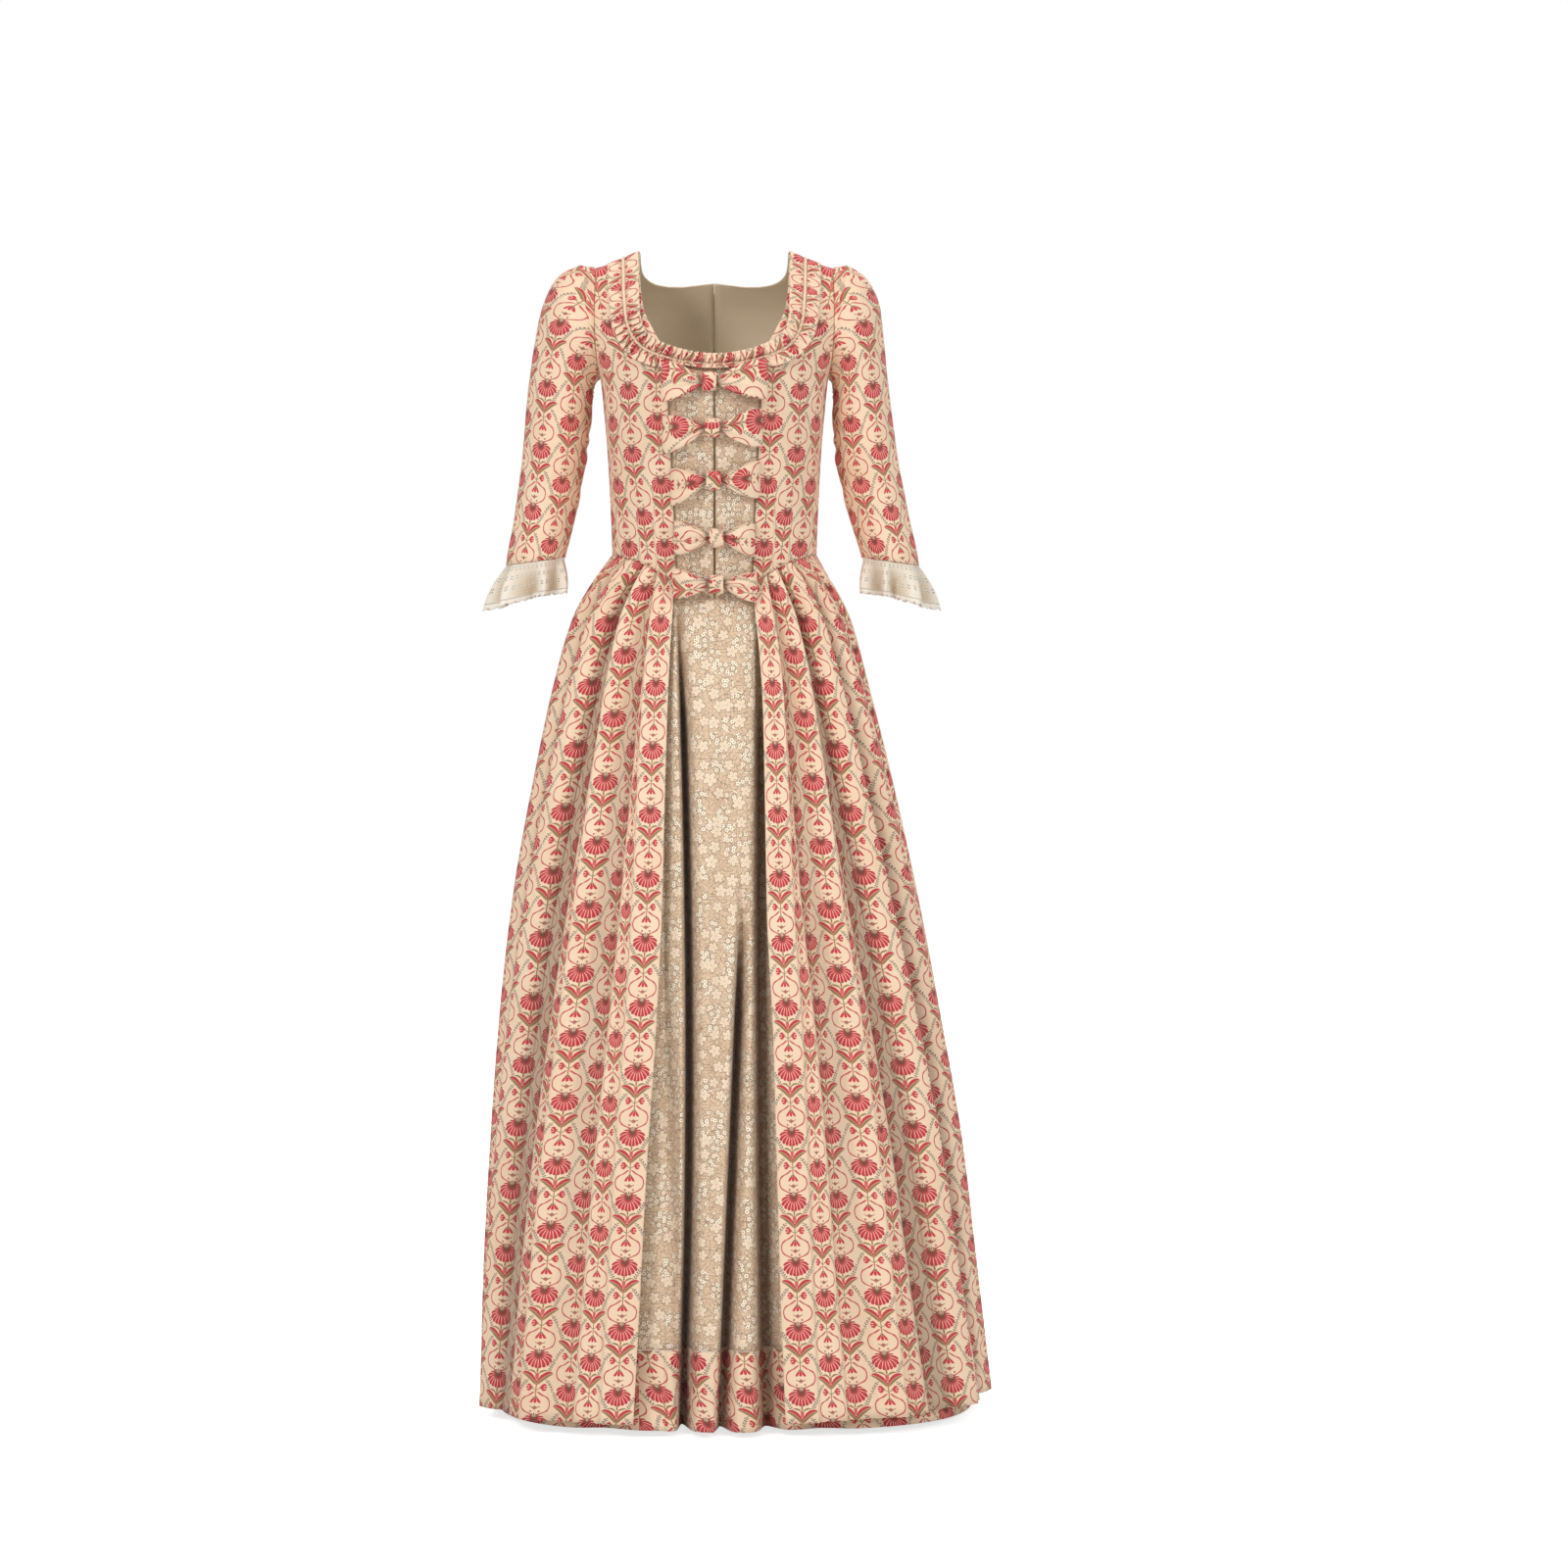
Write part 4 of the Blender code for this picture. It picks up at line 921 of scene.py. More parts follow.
sleeves = {
    "cut": (0.336, 0.400, 0.0900),
    "columns": 96,
    "rows": 120,
    "cloth": 0.336,  # metres round the arm
    "grain": (-0.17, 0.98),  # up the arm
    "printDown": 0.012,
    "printFrom": 0.42,  # the ring that the print is measured from
    # place down the arm, turn round it, slope, depth
    "creases": (
        (5.3, 2.6, 0.30, 0.0022),
        (5.9, 2.9, -0.20, 0.0026),
        (6.5, 2.4, 0.25, 0.0020),
        (2.6, 2.7, 0.5, 0.0022),
        (3.4, 3.3, -0.4, 0.0018),
        (7.1, 1.2, 0.3, 0.0012),
    ),
    "rings": table(
        ("ring", "leftOut", "rightOut", "outZ", "leftIn", "rightIn", "inZ", "halfDepth", "middleY"),
        (
            (1, 0.1640, 0.1620, -0.0160, 0.1440, 0.1430, -0.1590, 0.0585, 0.002),
            (2, 0.1900, 0.1840, -0.0300, 0.1460, 0.1440, -0.1640, 0.0600, 0.003),
            (3, 0.2080, 0.2010, -0.0620, 0.1475, 0.1445, -0.1700, 0.0580, 0.004),
            (4, 0.2200, 0.2080, -0.1150, 0.1485, 0.1450, -0.1810, 0.0540, 0.005),
            (5, 0.2290, 0.2150, -0.1800, 0.1500, 0.1440, -0.2050, 0.0495, 0.007),
            (6, 0.2340, 0.2230, -0.2400, 0.1560, 0.1480, -0.2480, 0.0470, 0.008),
            (7, 0.2430, 0.2360, -0.3100, 0.1670, 0.1610, -0.3080, 0.0440, 0.008),
            (8, 0.2550, 0.2510, -0.3820, 0.1820, 0.1800, -0.3730, 0.0420, 0.006),
        ),
    ),
}


def armholeLoop(side, count):
    span = torso["ridge"] - torso["armpit"]
    rings = [torso["armpit"] + span * i / 48 for i in range(49)]
    down = [torsoPoint(side * torsoRing(n)["armhole"], n) for n in reversed(rings)]
    up = [torsoPoint(side * torsoRing(n)["armhole"], n, back=True) for n in rings]
    return evenly([*down, *up[1:-1]], count, closed=True)


def sleeveRing(side, number, count):
    ring = read(sleeves["rings"], number)
    hand = sideName(side)
    outer = Vector((side * ring[hand + "Out"], ring["middleY"], ring["outZ"]))
    inner = Vector((side * ring[hand + "In"], ring["middleY"], ring["inZ"]))
    centre, axis = (outer + inner) / 2, (outer - inner) / 2
    fine = []
    for i in range(120):
        turn = 2 * math.pi * i / 120
        fine.append(centre + axis * math.cos(turn) + Vector((0, -ring["halfDepth"] * math.sin(turn), 0)))
    return evenly(fine, count, closed=True)


def sleeveLine(side, number, count):
    if number >= 1:
        return sleeveRing(side, number, count)
    seam = Vector((side * 0.0004, 0, 0))
    loop = [p + seam for p in armholeLoop(side, count)]
    first = sleeveRing(side, 1, count)
    return [a.lerp(b, number) for a, b in zip(loop, first)]


# gathers at the head, and soft wrinkles inside the elbow and under the arm
def sleeveCrease(number, turn, side):
    total = 0.0011 * math.exp(-((number / 0.55) ** 2)) * math.cos(turn * 30) * max(0.0, math.cos(turn)) ** 0.5
    for place, around, slope, size in sleeves["creases"]:
        away = abs((turn - around + math.pi) % (2 * math.pi) - math.pi)
        lean = number - place - slope * away
        total -= size * math.exp(-((lean / 0.13) ** 2) - (away / 0.9) ** 2)
        total += 0.7 * size * math.exp(-(((lean - 0.25) / 0.2) ** 2) - (away / 1.0) ** 2)
    return total + 0.0006 * wobble(number * 3.1, turn * 2, side)


def makeSleeves():
    count = sleeves["columns"]
    for side in (-1, 1):
        rows, marks = [], []
        grain = Vector((side * sleeves["grain"][0], 0, sleeves["grain"][1])).normalized()
        for r in range(sleeves["rows"]):
            number = 8 * (r / (sleeves["rows"] - 1)) ** 1.05
            row = sleeveLine(side, number, count)
            middle = sum(row, Vector()) / count
            for c, point in enumerate(row):
                turn = 2 * math.pi * c / count
                away = (point - middle).normalized()
                row[c] = point + away * (sleeveCrease(number, turn, side) * min(number / 0.15, 1.0))
            rows.append(row)
        level = round((sleeves["rows"] - 1) * sleeves["printFrom"])
        heights = [[0.0] * count for _ in rows]
        for c in range(count):
            heights[level][c] = rows[level][c].dot(grain) + sleeves["printDown"]
            for r in range(level + 1, len(rows)):
                heights[r][c] = heights[r - 1][c] - (rows[r][c] - rows[r - 1][c]).length
            for r in reversed(range(level)):
                heights[r][c] = heights[r + 1][c] + (rows[r][c] - rows[r + 1][c]).length
        for line in heights:
            marks.append([(sleeves["cloth"] * c / count, v) for c, v in enumerate([*line, line[0]])])
        name = f"sleeve_{sideName(side)}"
        clothPiece(
            name, rows, marks, "printedCotton",
            wall=0.0014, closed=True,
            offset=-side, inside="liningCotton"
        )


makeSleeves()
print("sleeves made")

# Lace ruffles at the elbows

cuffs = {
    "cut": (0.400, 0.050, 0.0180),
    "waves": 7,
    "scallopDepth": 0.0034,
    "columns": 208,
    "rows": 26,
    "rings": table(
        ("share", "fall", "outerFall", "spread", "outerSpread", "wave"),
        (
            (0.0, 0.0003, 0.0003, 0.0000, 0.000, 0.0006),
            (0.3, 0.0110, 0.0130, 0.0005, 0.007, 0.0042),
            (0.65, 0.0250, 0.0300, -0.0010, 0.015, 0.0090),
            (1.0, 0.0400, 0.0490, -0.0040, 0.022, 0.0120),
        ),
    ),
}


def makeCuffs():
    count = cuffs["columns"]
    for side in (-1, 1):
        end = sleeveRing(side, 8, count)
        centre = sum(end, Vector()) / count
        rows, marks, paintedShades = [], [], []
        for r in range(cuffs["rows"]):
            share = r / (cuffs["rows"] - 1)
            ring = read(cuffs["rings"], share)
            row, paintedShade = [], []
            for i, point in enumerate(end):
                away = (point - centre).normalized()
                outward = max(0.0, side * away.x)
                turn = 2 * math.pi * i / count
                phase = turn * cuffs["waves"] + 0.7 * math.sin(3 * turn + side)
                wave = ring["wave"] * (math.cos(phase) + 0.25 * math.cos(2 * phase + 1)) * (
                    0.85 + 0.15 * math.sin(5 * turn)
                )
                reach = ring["spread"] + ring["outerSpread"] * outward + wave - 0.0012
                scallop = cuffs["scallopDepth"] * share * abs(math.sin(turn * eyeletLace["scallops"]))
                fall = ring["fall"] + (ring["outerFall"] - ring["fall"]) * outward + scallop
                row.append(point + away * reach - Vector((0, 0, fall + 0.0004)))
                # painted shade in the valleys of the flutes
                paintedShade.append(ease(0.5 - wave / 0.016) * min(1.0, 0.4 + share))
            rows.append(row)
            paintedShades.append(paintedShade)
            marks.append(
                [(eyeletLace["round"] * c / count, -eyeletLace["hem"] * share) for c in range(count + 1)]
            )
        name = f"cuff_ruffle_{sideName(side)}"
        clothPiece(
            name, rows, marks, "eyeletLace",
            wall=0.0008, closed=True, offset=-side, paintedShades=paintedShades
        )


makeCuffs()
print("cuff ruffles made")

# The gown's skirt, knife-pleated into the waist seam

skirt = {
    "cuts": {
        "skirt_front_left": (0.215, 1.016, 0.2000),
        "skirt_front_right": (0.215, 1.016, 0.1850),
        "skirt_side_left": (0.500, 1.020, 0.4600),
        "skirt_side_right": (0.560, 1.020, 0.5100),
    },
    "hem": -1.395,
    "hemFullness": 1.11,
    "rows": 110,
    "pleatStack": 0.0085,
    "valley": 0.026,
    "deepest": 0.0205,
    "softness": 0.0024,
    # each pleat: fold edge along the cloth, depth, lap, billow
    "pleats": (
        (0.041, 0.045, 0.011, 0.34), (0.168, 0.045, 0.011, 0.62), (0.311, 0.045, 0.016, 0.56),
        (0.454, 0.045, 0.016, 0.46), (0.597, 0.045, 0.016, 0.46)
    ),
    "seamedAt": 18,
    "outline": table(
        ("drop", "left", "right", "front", "back", "squareness", "leftEdge", "rightEdge", "backSeam"),
        (
            (0.00, 0.1250, 0.1250, 0.0985, 0.093, 2.3, 0.0490, 0.0470, 0.101),
            (0.04, 0.1540, 0.1500, 0.109, 0.130, 2.3, 0.0505, 0.0490, 0.104),
            (0.08, 0.1760, 0.1680, 0.119, 0.160, 2.3, 0.0530, 0.0530, 0.112),
            (0.15, 0.1960, 0.1870, 0.137, 0.192, 2.4, 0.0560, 0.0575, 0.124),
            (0.25, 0.2180, 0.2130, 0.161, 0.226, 2.5, 0.0590, 0.0596, 0.140),
            (0.40, 0.2460, 0.2480, 0.193, 0.268, 2.6, 0.0627, 0.0620, 0.156),
            (0.55, 0.2640, 0.2780, 0.222, 0.306, 2.7, 0.0700, 0.0690, 0.168),
            (0.70, 0.2760, 0.3040, 0.248, 0.341, 2.8, 0.0800, 0.0730, 0.178),
            (0.85, 0.2850, 0.3220, 0.269, 0.372, 2.9, 0.0880, 0.0770, 0.187),
            (1.00, 0.2900, 0.3400, 0.288, 0.402, 3.0, 0.0960, 0.0830, 0.195),
        ),
    ),
}


def girthPoint(row, side, turn, inset=0.0):
    width = row[sideName(side)] - inset
    depth = row["front" if turn <= 1 else "back"] - inset
    angle = turn * math.pi / 2
    power = 2 / row["squareness"]
    y = depth * abs(math.cos(angle)) ** power
    return Vector((side * width * abs(math.sin(angle)) ** power, -y if turn <= 1 else y, 0))


def turnOf(row, side, x, back):
    width = row[sideName(side)]
    turn = math.asin(min(x / width, 1.0) ** (row["squareness"] / 2)) / (math.pi / 2)
    return 2 - turn if back else turn


def girthLine(row, side):
    start = turnOf(row, side, row[sideName(side) + "Edge"], back=False)
    end = turnOf(row, side, row["backSeam"], back=True)
    return [girthPoint(row, side, start + (end - start) * i / 160) for i in range(161)]


def lengthsOf(line):
    lengths = [0.0]
    for a, b in zip(line, line[1:]):
        lengths.append(lengths[-1] + (b - a).length)
    return lengths


def plainStretch(start, clothEnd, fold, nextLap, closure):
    clothAt, along, low = start
    length = clothEnd - clothAt
    if not low:
        return [(clothAt + length * t, along + length * t, 0.0) for t in (0.35, 0.7, 1.0)]
    hidden = min(max((fold + 0.002 - along) / length, 0.10), 0.75)
    risen = max(min(1 - (nextLap + 0.001) / length, (1.2 + hidden) / 2.2), hidden + 0.1)
    rise = min(0.66 + 0.40 * closure, 1.0)
    bend = hidden + min(skirt["valley"] / length, 0.5 * (risen - hidden))
    steps = ((0.0, 0.0), (hidden, 0.03), (bend, 0.62 * rise), (risen, rise), (1.0, 1.0))
    return [(clothAt + length * t, along + length * t, low * (1 - up)) for t, up in steps]


def pleatedPoints(closure, clothWidth):  # along the cloth, along the girth, and inwards
    points = [(0.0, 0.0, 0.0)]
    clothAt, along, low, fold = 0.0, 0.0, 0.0, 0.0
    for edge, depth, lap, fullness in skirt["pleats"]:
        points += plainStretch((clothAt, along, low), edge, fold, lap * closure, closure)
        fold = along + edge - clothAt
        inner = fold + depth * (1 - closure) - lap * closure
        billow = min(fullness * 2 * math.sqrt(closure * (1 - closure)) * depth, skirt["deepest"])
        drop = math.hypot(skirt["pleatStack"] * closure, billow) + 1e-5
        points += [
            (edge + 0.02 * depth, fold + 0.0006, 0.36 * drop),
            (edge + 0.50 * depth, (fold + inner) / 2, 0.50 * drop),
            (edge + 0.98 * depth, inner - 0.0004, 0.64 * drop),
            (edge + 1.04 * depth, inner, drop),
        ]
        clothAt = edge + 2 * depth
        along = max(fold + 2 * depth * (1 - closure), inner + 0.004)
        low = drop
    return points + plainStretch((clothAt, along, low), clothWidth, fold, 0.0, closure)


def waistSeam(place):
    ring = fineRings[0]
    share = min(abs(place.x) / ring["halfWidth"], 1.0)
    middle = ring["backZ"] if place.y > 0 else ring["centreZ"]
    return ring["sideZ"] + (middle - ring["sideZ"]) * (1 - share) ** torso["dip"] - 0.0006


def hemHeight(side, place):
    forward = min(max(-place.y / 0.28, 0.0), 1.0)
    lift = 0.006 if side > 0 else -0.004
    return skirt["hem"] + 0.005 * forward + lift * min(abs(place.x) / 0.29, 1.0) ** 2


def finePleats(closure, clothWidth):  # the pleats' line, closely and smoothly spaced
    points = pleatedPoints(closure, clothWidth)
    us = [p[0] for p in points]
    alongs = [p[1] for p in points]
    lifts = [p[2] for p in points]
    made, cut = [], 0
    for i in range(len(points) - 1):
        if i == skirt["seamedAt"]:
            cut = len(made)
        # folds are short and turn sharply, plain stretches are long
        steps = 3 if (i - 3) % 9 < 4 and i > 2 else 5
        for k in range(steps):
            u = us[i] + (us[i + 1] - us[i]) * k / steps
            made.append((u, between(us, alongs, u), between(us, lifts, u)))
    made.append(points[-1])
    return made, cut


def skirtRing(side, drop, waist, clothWidth):
    line = girthLine(read(skirt["outline"], drop), side)
    lengths = lengthsOf(line)
    closure = min(max((clothWidth - lengths[-1]) / (clothWidth - waist), 0.0), 1.0)
    points, cut = finePleats(closure, clothWidth)
    scale = lengths[-1] / points[-1][1]
    row, mark, paintedShade, i = [], [], [], 0
    for u, along, lift in points:
        along = min(max(along * scale, 0.0), lengths[-1])
        while i > 0 and lengths[i] > along:
            i -= 1
        while i < len(lengths) - 2 and lengths[i + 1] < along:
            i += 1
        a, b = line[i], line[i + 1]
        place = a.lerp(b, (along - lengths[i]) / (lengths[i + 1] - lengths[i]))
        tangent = (b - a).normalized()
        top = waistSeam(place)
        soft = skirt["softness"] * drop * (1 - drop * 0.3) * wobble(u * 38, drop * 1.3, side) if u > 0.012 else 0.0
        place = place - Vector((tangent.y, -tangent.x, 0)) * (
            side * (lift + soft * min((u - 0.012) / 0.02, 1.0))
        )
        place.z = top + (hemHeight(side, place) - top) * drop
        row.append(place)
        mark.append((u, place.z))
        # painted shade: darker where the pleats pull the cloth deep in
        paintedShade.append(ease((lift / skirt["deepest"] - 0.40) / 0.60))
    return row, mark, paintedShade, cut


def makeSkirt():
    for side in (-1, 1):
        waist = lengthsOf(girthLine(read(skirt["outline"], 0.0), side))[-1]
        clothWidth = lengthsOf(girthLine(read(skirt["outline"], 1.0), side))[-1] * skirt["hemFullness"]
        front, frontMarks, frontPaintedShades, rear, rearMarks, rearPaintedShades = [], [], [], [], [], []
        for r in range(skirt["rows"]):
            drop = (r / (skirt["rows"] - 1)) ** 1.25
            row, mark, paintedShade, cut = skirtRing(side, drop, waist, clothWidth)
            front.append(row[: cut + 1])
            frontMarks.append(mark[: cut + 1])
            frontPaintedShades.append(paintedShade[: cut + 1])
            gap = (row[cut + 1] - row[cut]).normalized() * 0.0006
            rear.append([row[cut] + gap, *row[cut + 1 :]])
            rearMarks.append(mark[cut:])
            rearPaintedShades.append(paintedShade[cut:])
        for name, rows, marks, paintedShades in (
            ("skirt_front", front, frontMarks, frontPaintedShades), ("skirt_side", rear, rearMarks, rearPaintedShades)
        ):
            name = f"{name}_{sideName(side)}"
            clothPiece(
                name, rows, marks, "printedCotton",
                inside="liningCotton", paintedShades=paintedShades
            )


makeSkirt()
print("skirt made")

# The sack back: two box pleats from the neckline that open towards the hem

sack = {
    "cut": (0.450, 1.360, 0.5650),
    "faceMiddle": 0.147,  # the print's place at the middle of each pleat's face
    "stand": 0.0045,
    "seam": 0.00072,
    "overRows": 34,
    "belowRows": 70,
    "columnsPerFold": 4,
    "overBack": table(
        ("z", "halfWidth", "middleLift", "openness"),
        (
            (-0.045, 0.088, 0.008, 0.00),
            (-0.072, 0.091, 0.010, 0.00),
            (-0.105, 0.093, 0.013, 0.01),
            (-0.155, 0.096, 0.020, 0.03),
            (-0.225, 0.098, 0.032, 0.06),
            (-0.300, 0.099, 0.048, 0.10),
        ),
    ),
    "belowWaist": table(
        ("drop", "middleLift", "openness"),
        (
            (0.00, 0.066, 0.15),
            (0.04, 0.046, 0.18),
            (0.10, 0.034, 0.24),
            (0.20, 0.027, 0.36),
            (0.36, 0.022, 0.52),
            (0.56, 0.018, 0.70),
            (0.78, 0.015, 0.86),
            (1.00, 0.012, 1.00),
        ),
    ),
    "folds": table(
        ("cloth", "folded", "foldedLift", "open", "openLift"),
        (
            (0.000, 0.000, 0.0000, 0.000, -0.016),
            (0.060, 0.085, 0.0000, 0.078, -0.014),
            (0.090, 0.088, 0.0024, 0.104, -0.008),
            (0.120, 0.060, 0.0026, 0.094, -0.001),
            (0.150, 0.057, 0.0052, 0.110, 0.007),
            (0.260, 0.350, 0.0060, 0.330, 0.013),
            (0.390, 0.660, 0.0060, 0.620, 0.010),
            (0.450, 0.800, 0.0054, 0.720, 0.004),
            (0.490, 0.803, 0.0028, 0.738, -0.003),
            (0.550, 0.690, 0.0026, 0.706, -0.008),
            (0.610, 0.687, 0.0000, 0.722, -0.014),
            (0.700, 0.770, -0.0002, 0.790, -0.010),
            (0.850, 0.880, -0.0004, 0.890, -0.002),
            (1.000, 1.000, -0.0004, 1.000, 0.000),
        ),
    ),
}


def sackFolds():
    cloth = sack["folds"]["cloth"]
    steps = sack["columnsPerFold"]
    made = []
    for a, b in zip(cloth, cloth[1:]):
        made += [read(sack["folds"], a + (b - a) * k / steps) for k in range(steps)]
    return made + [read(sack["folds"], 1.0)]


def sackPlace(fold, openness):
    across = fold["folded"] + (fold["open"] - fold["folded"]) * openness
    lift = fold["foldedLift"] + (fold["openLift"] - fold["foldedLift"]) * openness
    return across, lift


def sackSwell(across):
    return (1 - min(across, 1.0) ** 2) ** 1.5


def makeSack():
    folds = sackFolds()
    rows, marks = [], []
    overBack = sack["overBack"]
    for r in range(sack["overRows"]):
        z = overBack["z"][0] + (overBack["z"][-1] - overBack["z"][0]) * r / (sack["overRows"] - 1)
        line = read(overBack, z)
        half = []
        for fold in folds:
            across, lift = sackPlace(fold, line["openness"])
            x = line["halfWidth"] * across
            y = torsoPoint(x, torsoNumber(x, z, True), True).y + sack["stand"] + line["middleLift"] * sackSwell(across)
            half.append(Vector((x, y + lift, z)))
        rows.append([*(Vector((-p.x, p.y, p.z)) for p in reversed(half[1:])), *half])
    for r in range(1, sack["belowRows"]):
        drop = (r / (sack["belowRows"] - 1)) ** 1.2
        fall = read(sack["belowWaist"], drop)
        outline = read(skirt["outline"], drop)
        halves = []
        for side in (1, -1):
            seam = girthPoint(outline, side, turnOf(outline, side, outline["backSeam"], back=True))
            top = waistSeam(seam)
            z = top + (hemHeight(side, seam) - top) * drop
            half = []
            for fold in folds:
                across, lift = sackPlace(fold, fall["openness"])
                x = (outline["backSeam"] - sack["seam"]) * across
                y = girthPoint(outline, side, turnOf(outline, side, x, back=True)).y
                half.append(Vector((side * x, y + fall["middleLift"] * sackSwell(across) + lift, z)))
            halves.append(half)
        rows.append([*reversed(halves[1][1:]), *halves[0]])
    half = len(folds) - 1
    face = min(range(half + 1), key=lambda i: abs(folds[i]["cloth"] - 0.30))
    for row in rows:
        right = row[half:]
        lengths = lengthsOf(right)
        us = [sack["faceMiddle"] + along - lengths[face] for along in lengths]
        marks.append([(u, p.z) for u, p in zip([*(-u for u in reversed(us[1:])), *us], row)])
    clothPiece(
        "sack_back", rows, marks, "printedCotton",
        inside="liningCotton"
    )


makeSack()
print("sack back made")

# The petticoat and its hem band

petticoat = {
    "cut": (1.930, 0.922, 1.4500),
    "bandCut": (2.150, 0.094, 0.2010),
    "printAcross": 0.008,
    "waist": -0.387,
    "hem": -1.402,
    "band": 0.094,
    "clearance": 0.026,
    "ahead": 0.0142,  # how far the front stands out between the gown's edges, and half its width
    "aheadHalf": 0.060,
    "backWave": 0.007,
    "backWaves": 22,
    "darkest": 0.034,  # a flute this deep gets the darkest painted shade
    "frontColumns": 320,
    "backColumns": 110,
    "rows": 96,
    "bandRows": 14,
    # flutes: x at the top, middle and hem, drop where it starts, width left and right, depth
    "flutes": (
        (-0.0470, -0.0230, -0.0400, 0.03, 0.0030, 0.0095, 0.046),
        (0.0480, 0.0260, 0.0050, 0.36, 0.0030, 0.0095, 0.046),
        (-0.0700, -0.0560, -0.0400, 0.45, 0.0070, 0.0070, 0.014),
        (0.0560, 0.0480, 0.0590, 0.05, 0.0050, 0.0140, 0.034),
        (0.0120, 0.0060, -0.0140, 0.10, 0.0080, 0.0100, 0.004),
        (-0.1000, -0.1100, -0.1300, 0.10, 0.0200, 0.0200, 0.014),
        (0.1000, 0.1100, 0.1250, 0.10, 0.0200, 0.0200, 0.014),
    ),
}


def fluteDepth(flute, x, drop):
    topX, middleX, hemX, begins, leftWidth, rightWidth, depth = flute
    if drop <= begins:
        return 0.0
    middle = topX * (1 - drop) ** 2 + 2 * middleX * drop * (1 - drop) + hemX * drop * drop
    grow = min(1.0, (drop - begins) / 0.16)
    width = leftWidth if x < middle else rightWidth
    return depth * grow * math.exp(-(((x - middle) / (width * (0.8 + 0.5 * drop))) ** 2))


def petticoatPoint(outline, turn, side, drop):
    inset = petticoat["clearance"] * (0.70 + 0.30 * drop) + 0.016 * drop * max(0.0, turn - 1)
    place = girthPoint(outline, side, turn, inset)
    if turn < 1:
        tuck = sum(fluteDepth(flute, place.x, drop) for flute in petticoat["flutes"])
        ahead = petticoat["ahead"] * max(0.0, 1 - (place.x / petticoat["aheadHalf"]) ** 4) * min(
            drop / 0.08, 1.0
        )
        place.y += tuck - ahead
    else:
        place += place.normalized() * petticoat["backWave"] * drop * math.cos(turn * petticoat["backWaves"])
    return place


def petticoatRing(drop, z):
    outline = read(skirt["outline"], drop)
    reach = turnOf(outline, 1, 0.115 * (0.8 + 0.2 * drop), back=False)
    front, back = petticoat["frontColumns"], petticoat["backColumns"]
    turns = [reach * (2 * i / (front - 1) - 1) for i in range(front)]
    turns += [reach + (4 - 2 * reach) * (i + 1) / (back + 1) for i in range(back)]
    row = []
    for turn in turns:
        side = -1 if turn < 0 or turn > 2 else 1
        place = petticoatPoint(outline, 4 - turn if turn > 2 else abs(turn), side, drop)
        place.z = z
        row.append(place)
    return row


# painted shade: the flutes darken as they deepen
def petticoatPaintedShades(row, drop):
    tucks = [
        sum(fluteDepth(flute, place.x, drop) for flute in petticoat["flutes"]) if place.y < 0 else 0.0 for place in row
    ]
    return [min(tuck / petticoat["darkest"], 1.0) ** 1.3 for tuck in tucks]


def clothMarks(row, z, middle):  # the print's place round a closed ring, from its front middle
    lengths = lengthsOf([*row, row[0]])
    return [(along - lengths[middle] + petticoat["printAcross"], z) for along in lengths]


def makePetticoat():
    top, hem = petticoat["waist"], petticoat["hem"]
    seam = hem + petticoat["band"]
    seamDrop = (top - seam) / (top - hem)
    middle = petticoat["frontColumns"] // 2
    rows, marks, paintedShades = [], [], []
    for r in range(petticoat["rows"]):
        drop = seamDrop * (r / (petticoat["rows"] - 1)) ** 1.1
        z = top + (hem - top) * drop
        row = petticoatRing(drop, z)
        rows.append(row)
        marks.append(clothMarks(row, z, middle))
        paintedShades.append(petticoatPaintedShades(row, drop))
    clothPiece(
        "petticoat", rows, marks, "floweredCotton", closed=True,
        inside="liningCotton", paintedShades=paintedShades
    )
    rows, marks, paintedShades = [], [], []
    for r in range(petticoat["bandRows"]):
        share = r / (petticoat["bandRows"] - 1)
        z = seam - 0.0004 + (hem - seam + 0.0004) * share
        row = petticoatRing(seamDrop + (1 - seamDrop) * share, z)
        rows.append(row)
        marks.append(clothMarks(row, z, middle))
        paintedShades.append(petticoatPaintedShades(row, seamDrop + (1 - seamDrop) * share))
    clothPiece(
        "petticoat_hem_band", rows, marks, "printedCotton",
        closed=True, inside="liningCotton", paintedShades=paintedShades
    )


makePetticoat()
print("petticoat made")

# The ruching round the neck

ruching = {
    "cut": (0.620, 0.038, 0.0230),
    "waves": 56,
    "pointsPerWave": 12,
    "columns": 12,  # each side of the gathering line
    "wide": 0.0200,
    "narrow": 0.0128,
    "height": 0.0050,
    "covered": 0.58,
    "rise": 0.84,  # the share of a pleat that rises
    "lean": 0.0044,
    "line": (
        (0.1100, -0.0100),
        (0.1095, -0.0300),
        (0.1085, -0.0560),
        (0.1045, -0.0880),
        (0.0950, -0.1110),
        (0.0780, -0.1260),
        (0.0480, -0.1370),
        (0.0200, -0.1420),
        (0.0000, -0.1430),
    ),
}


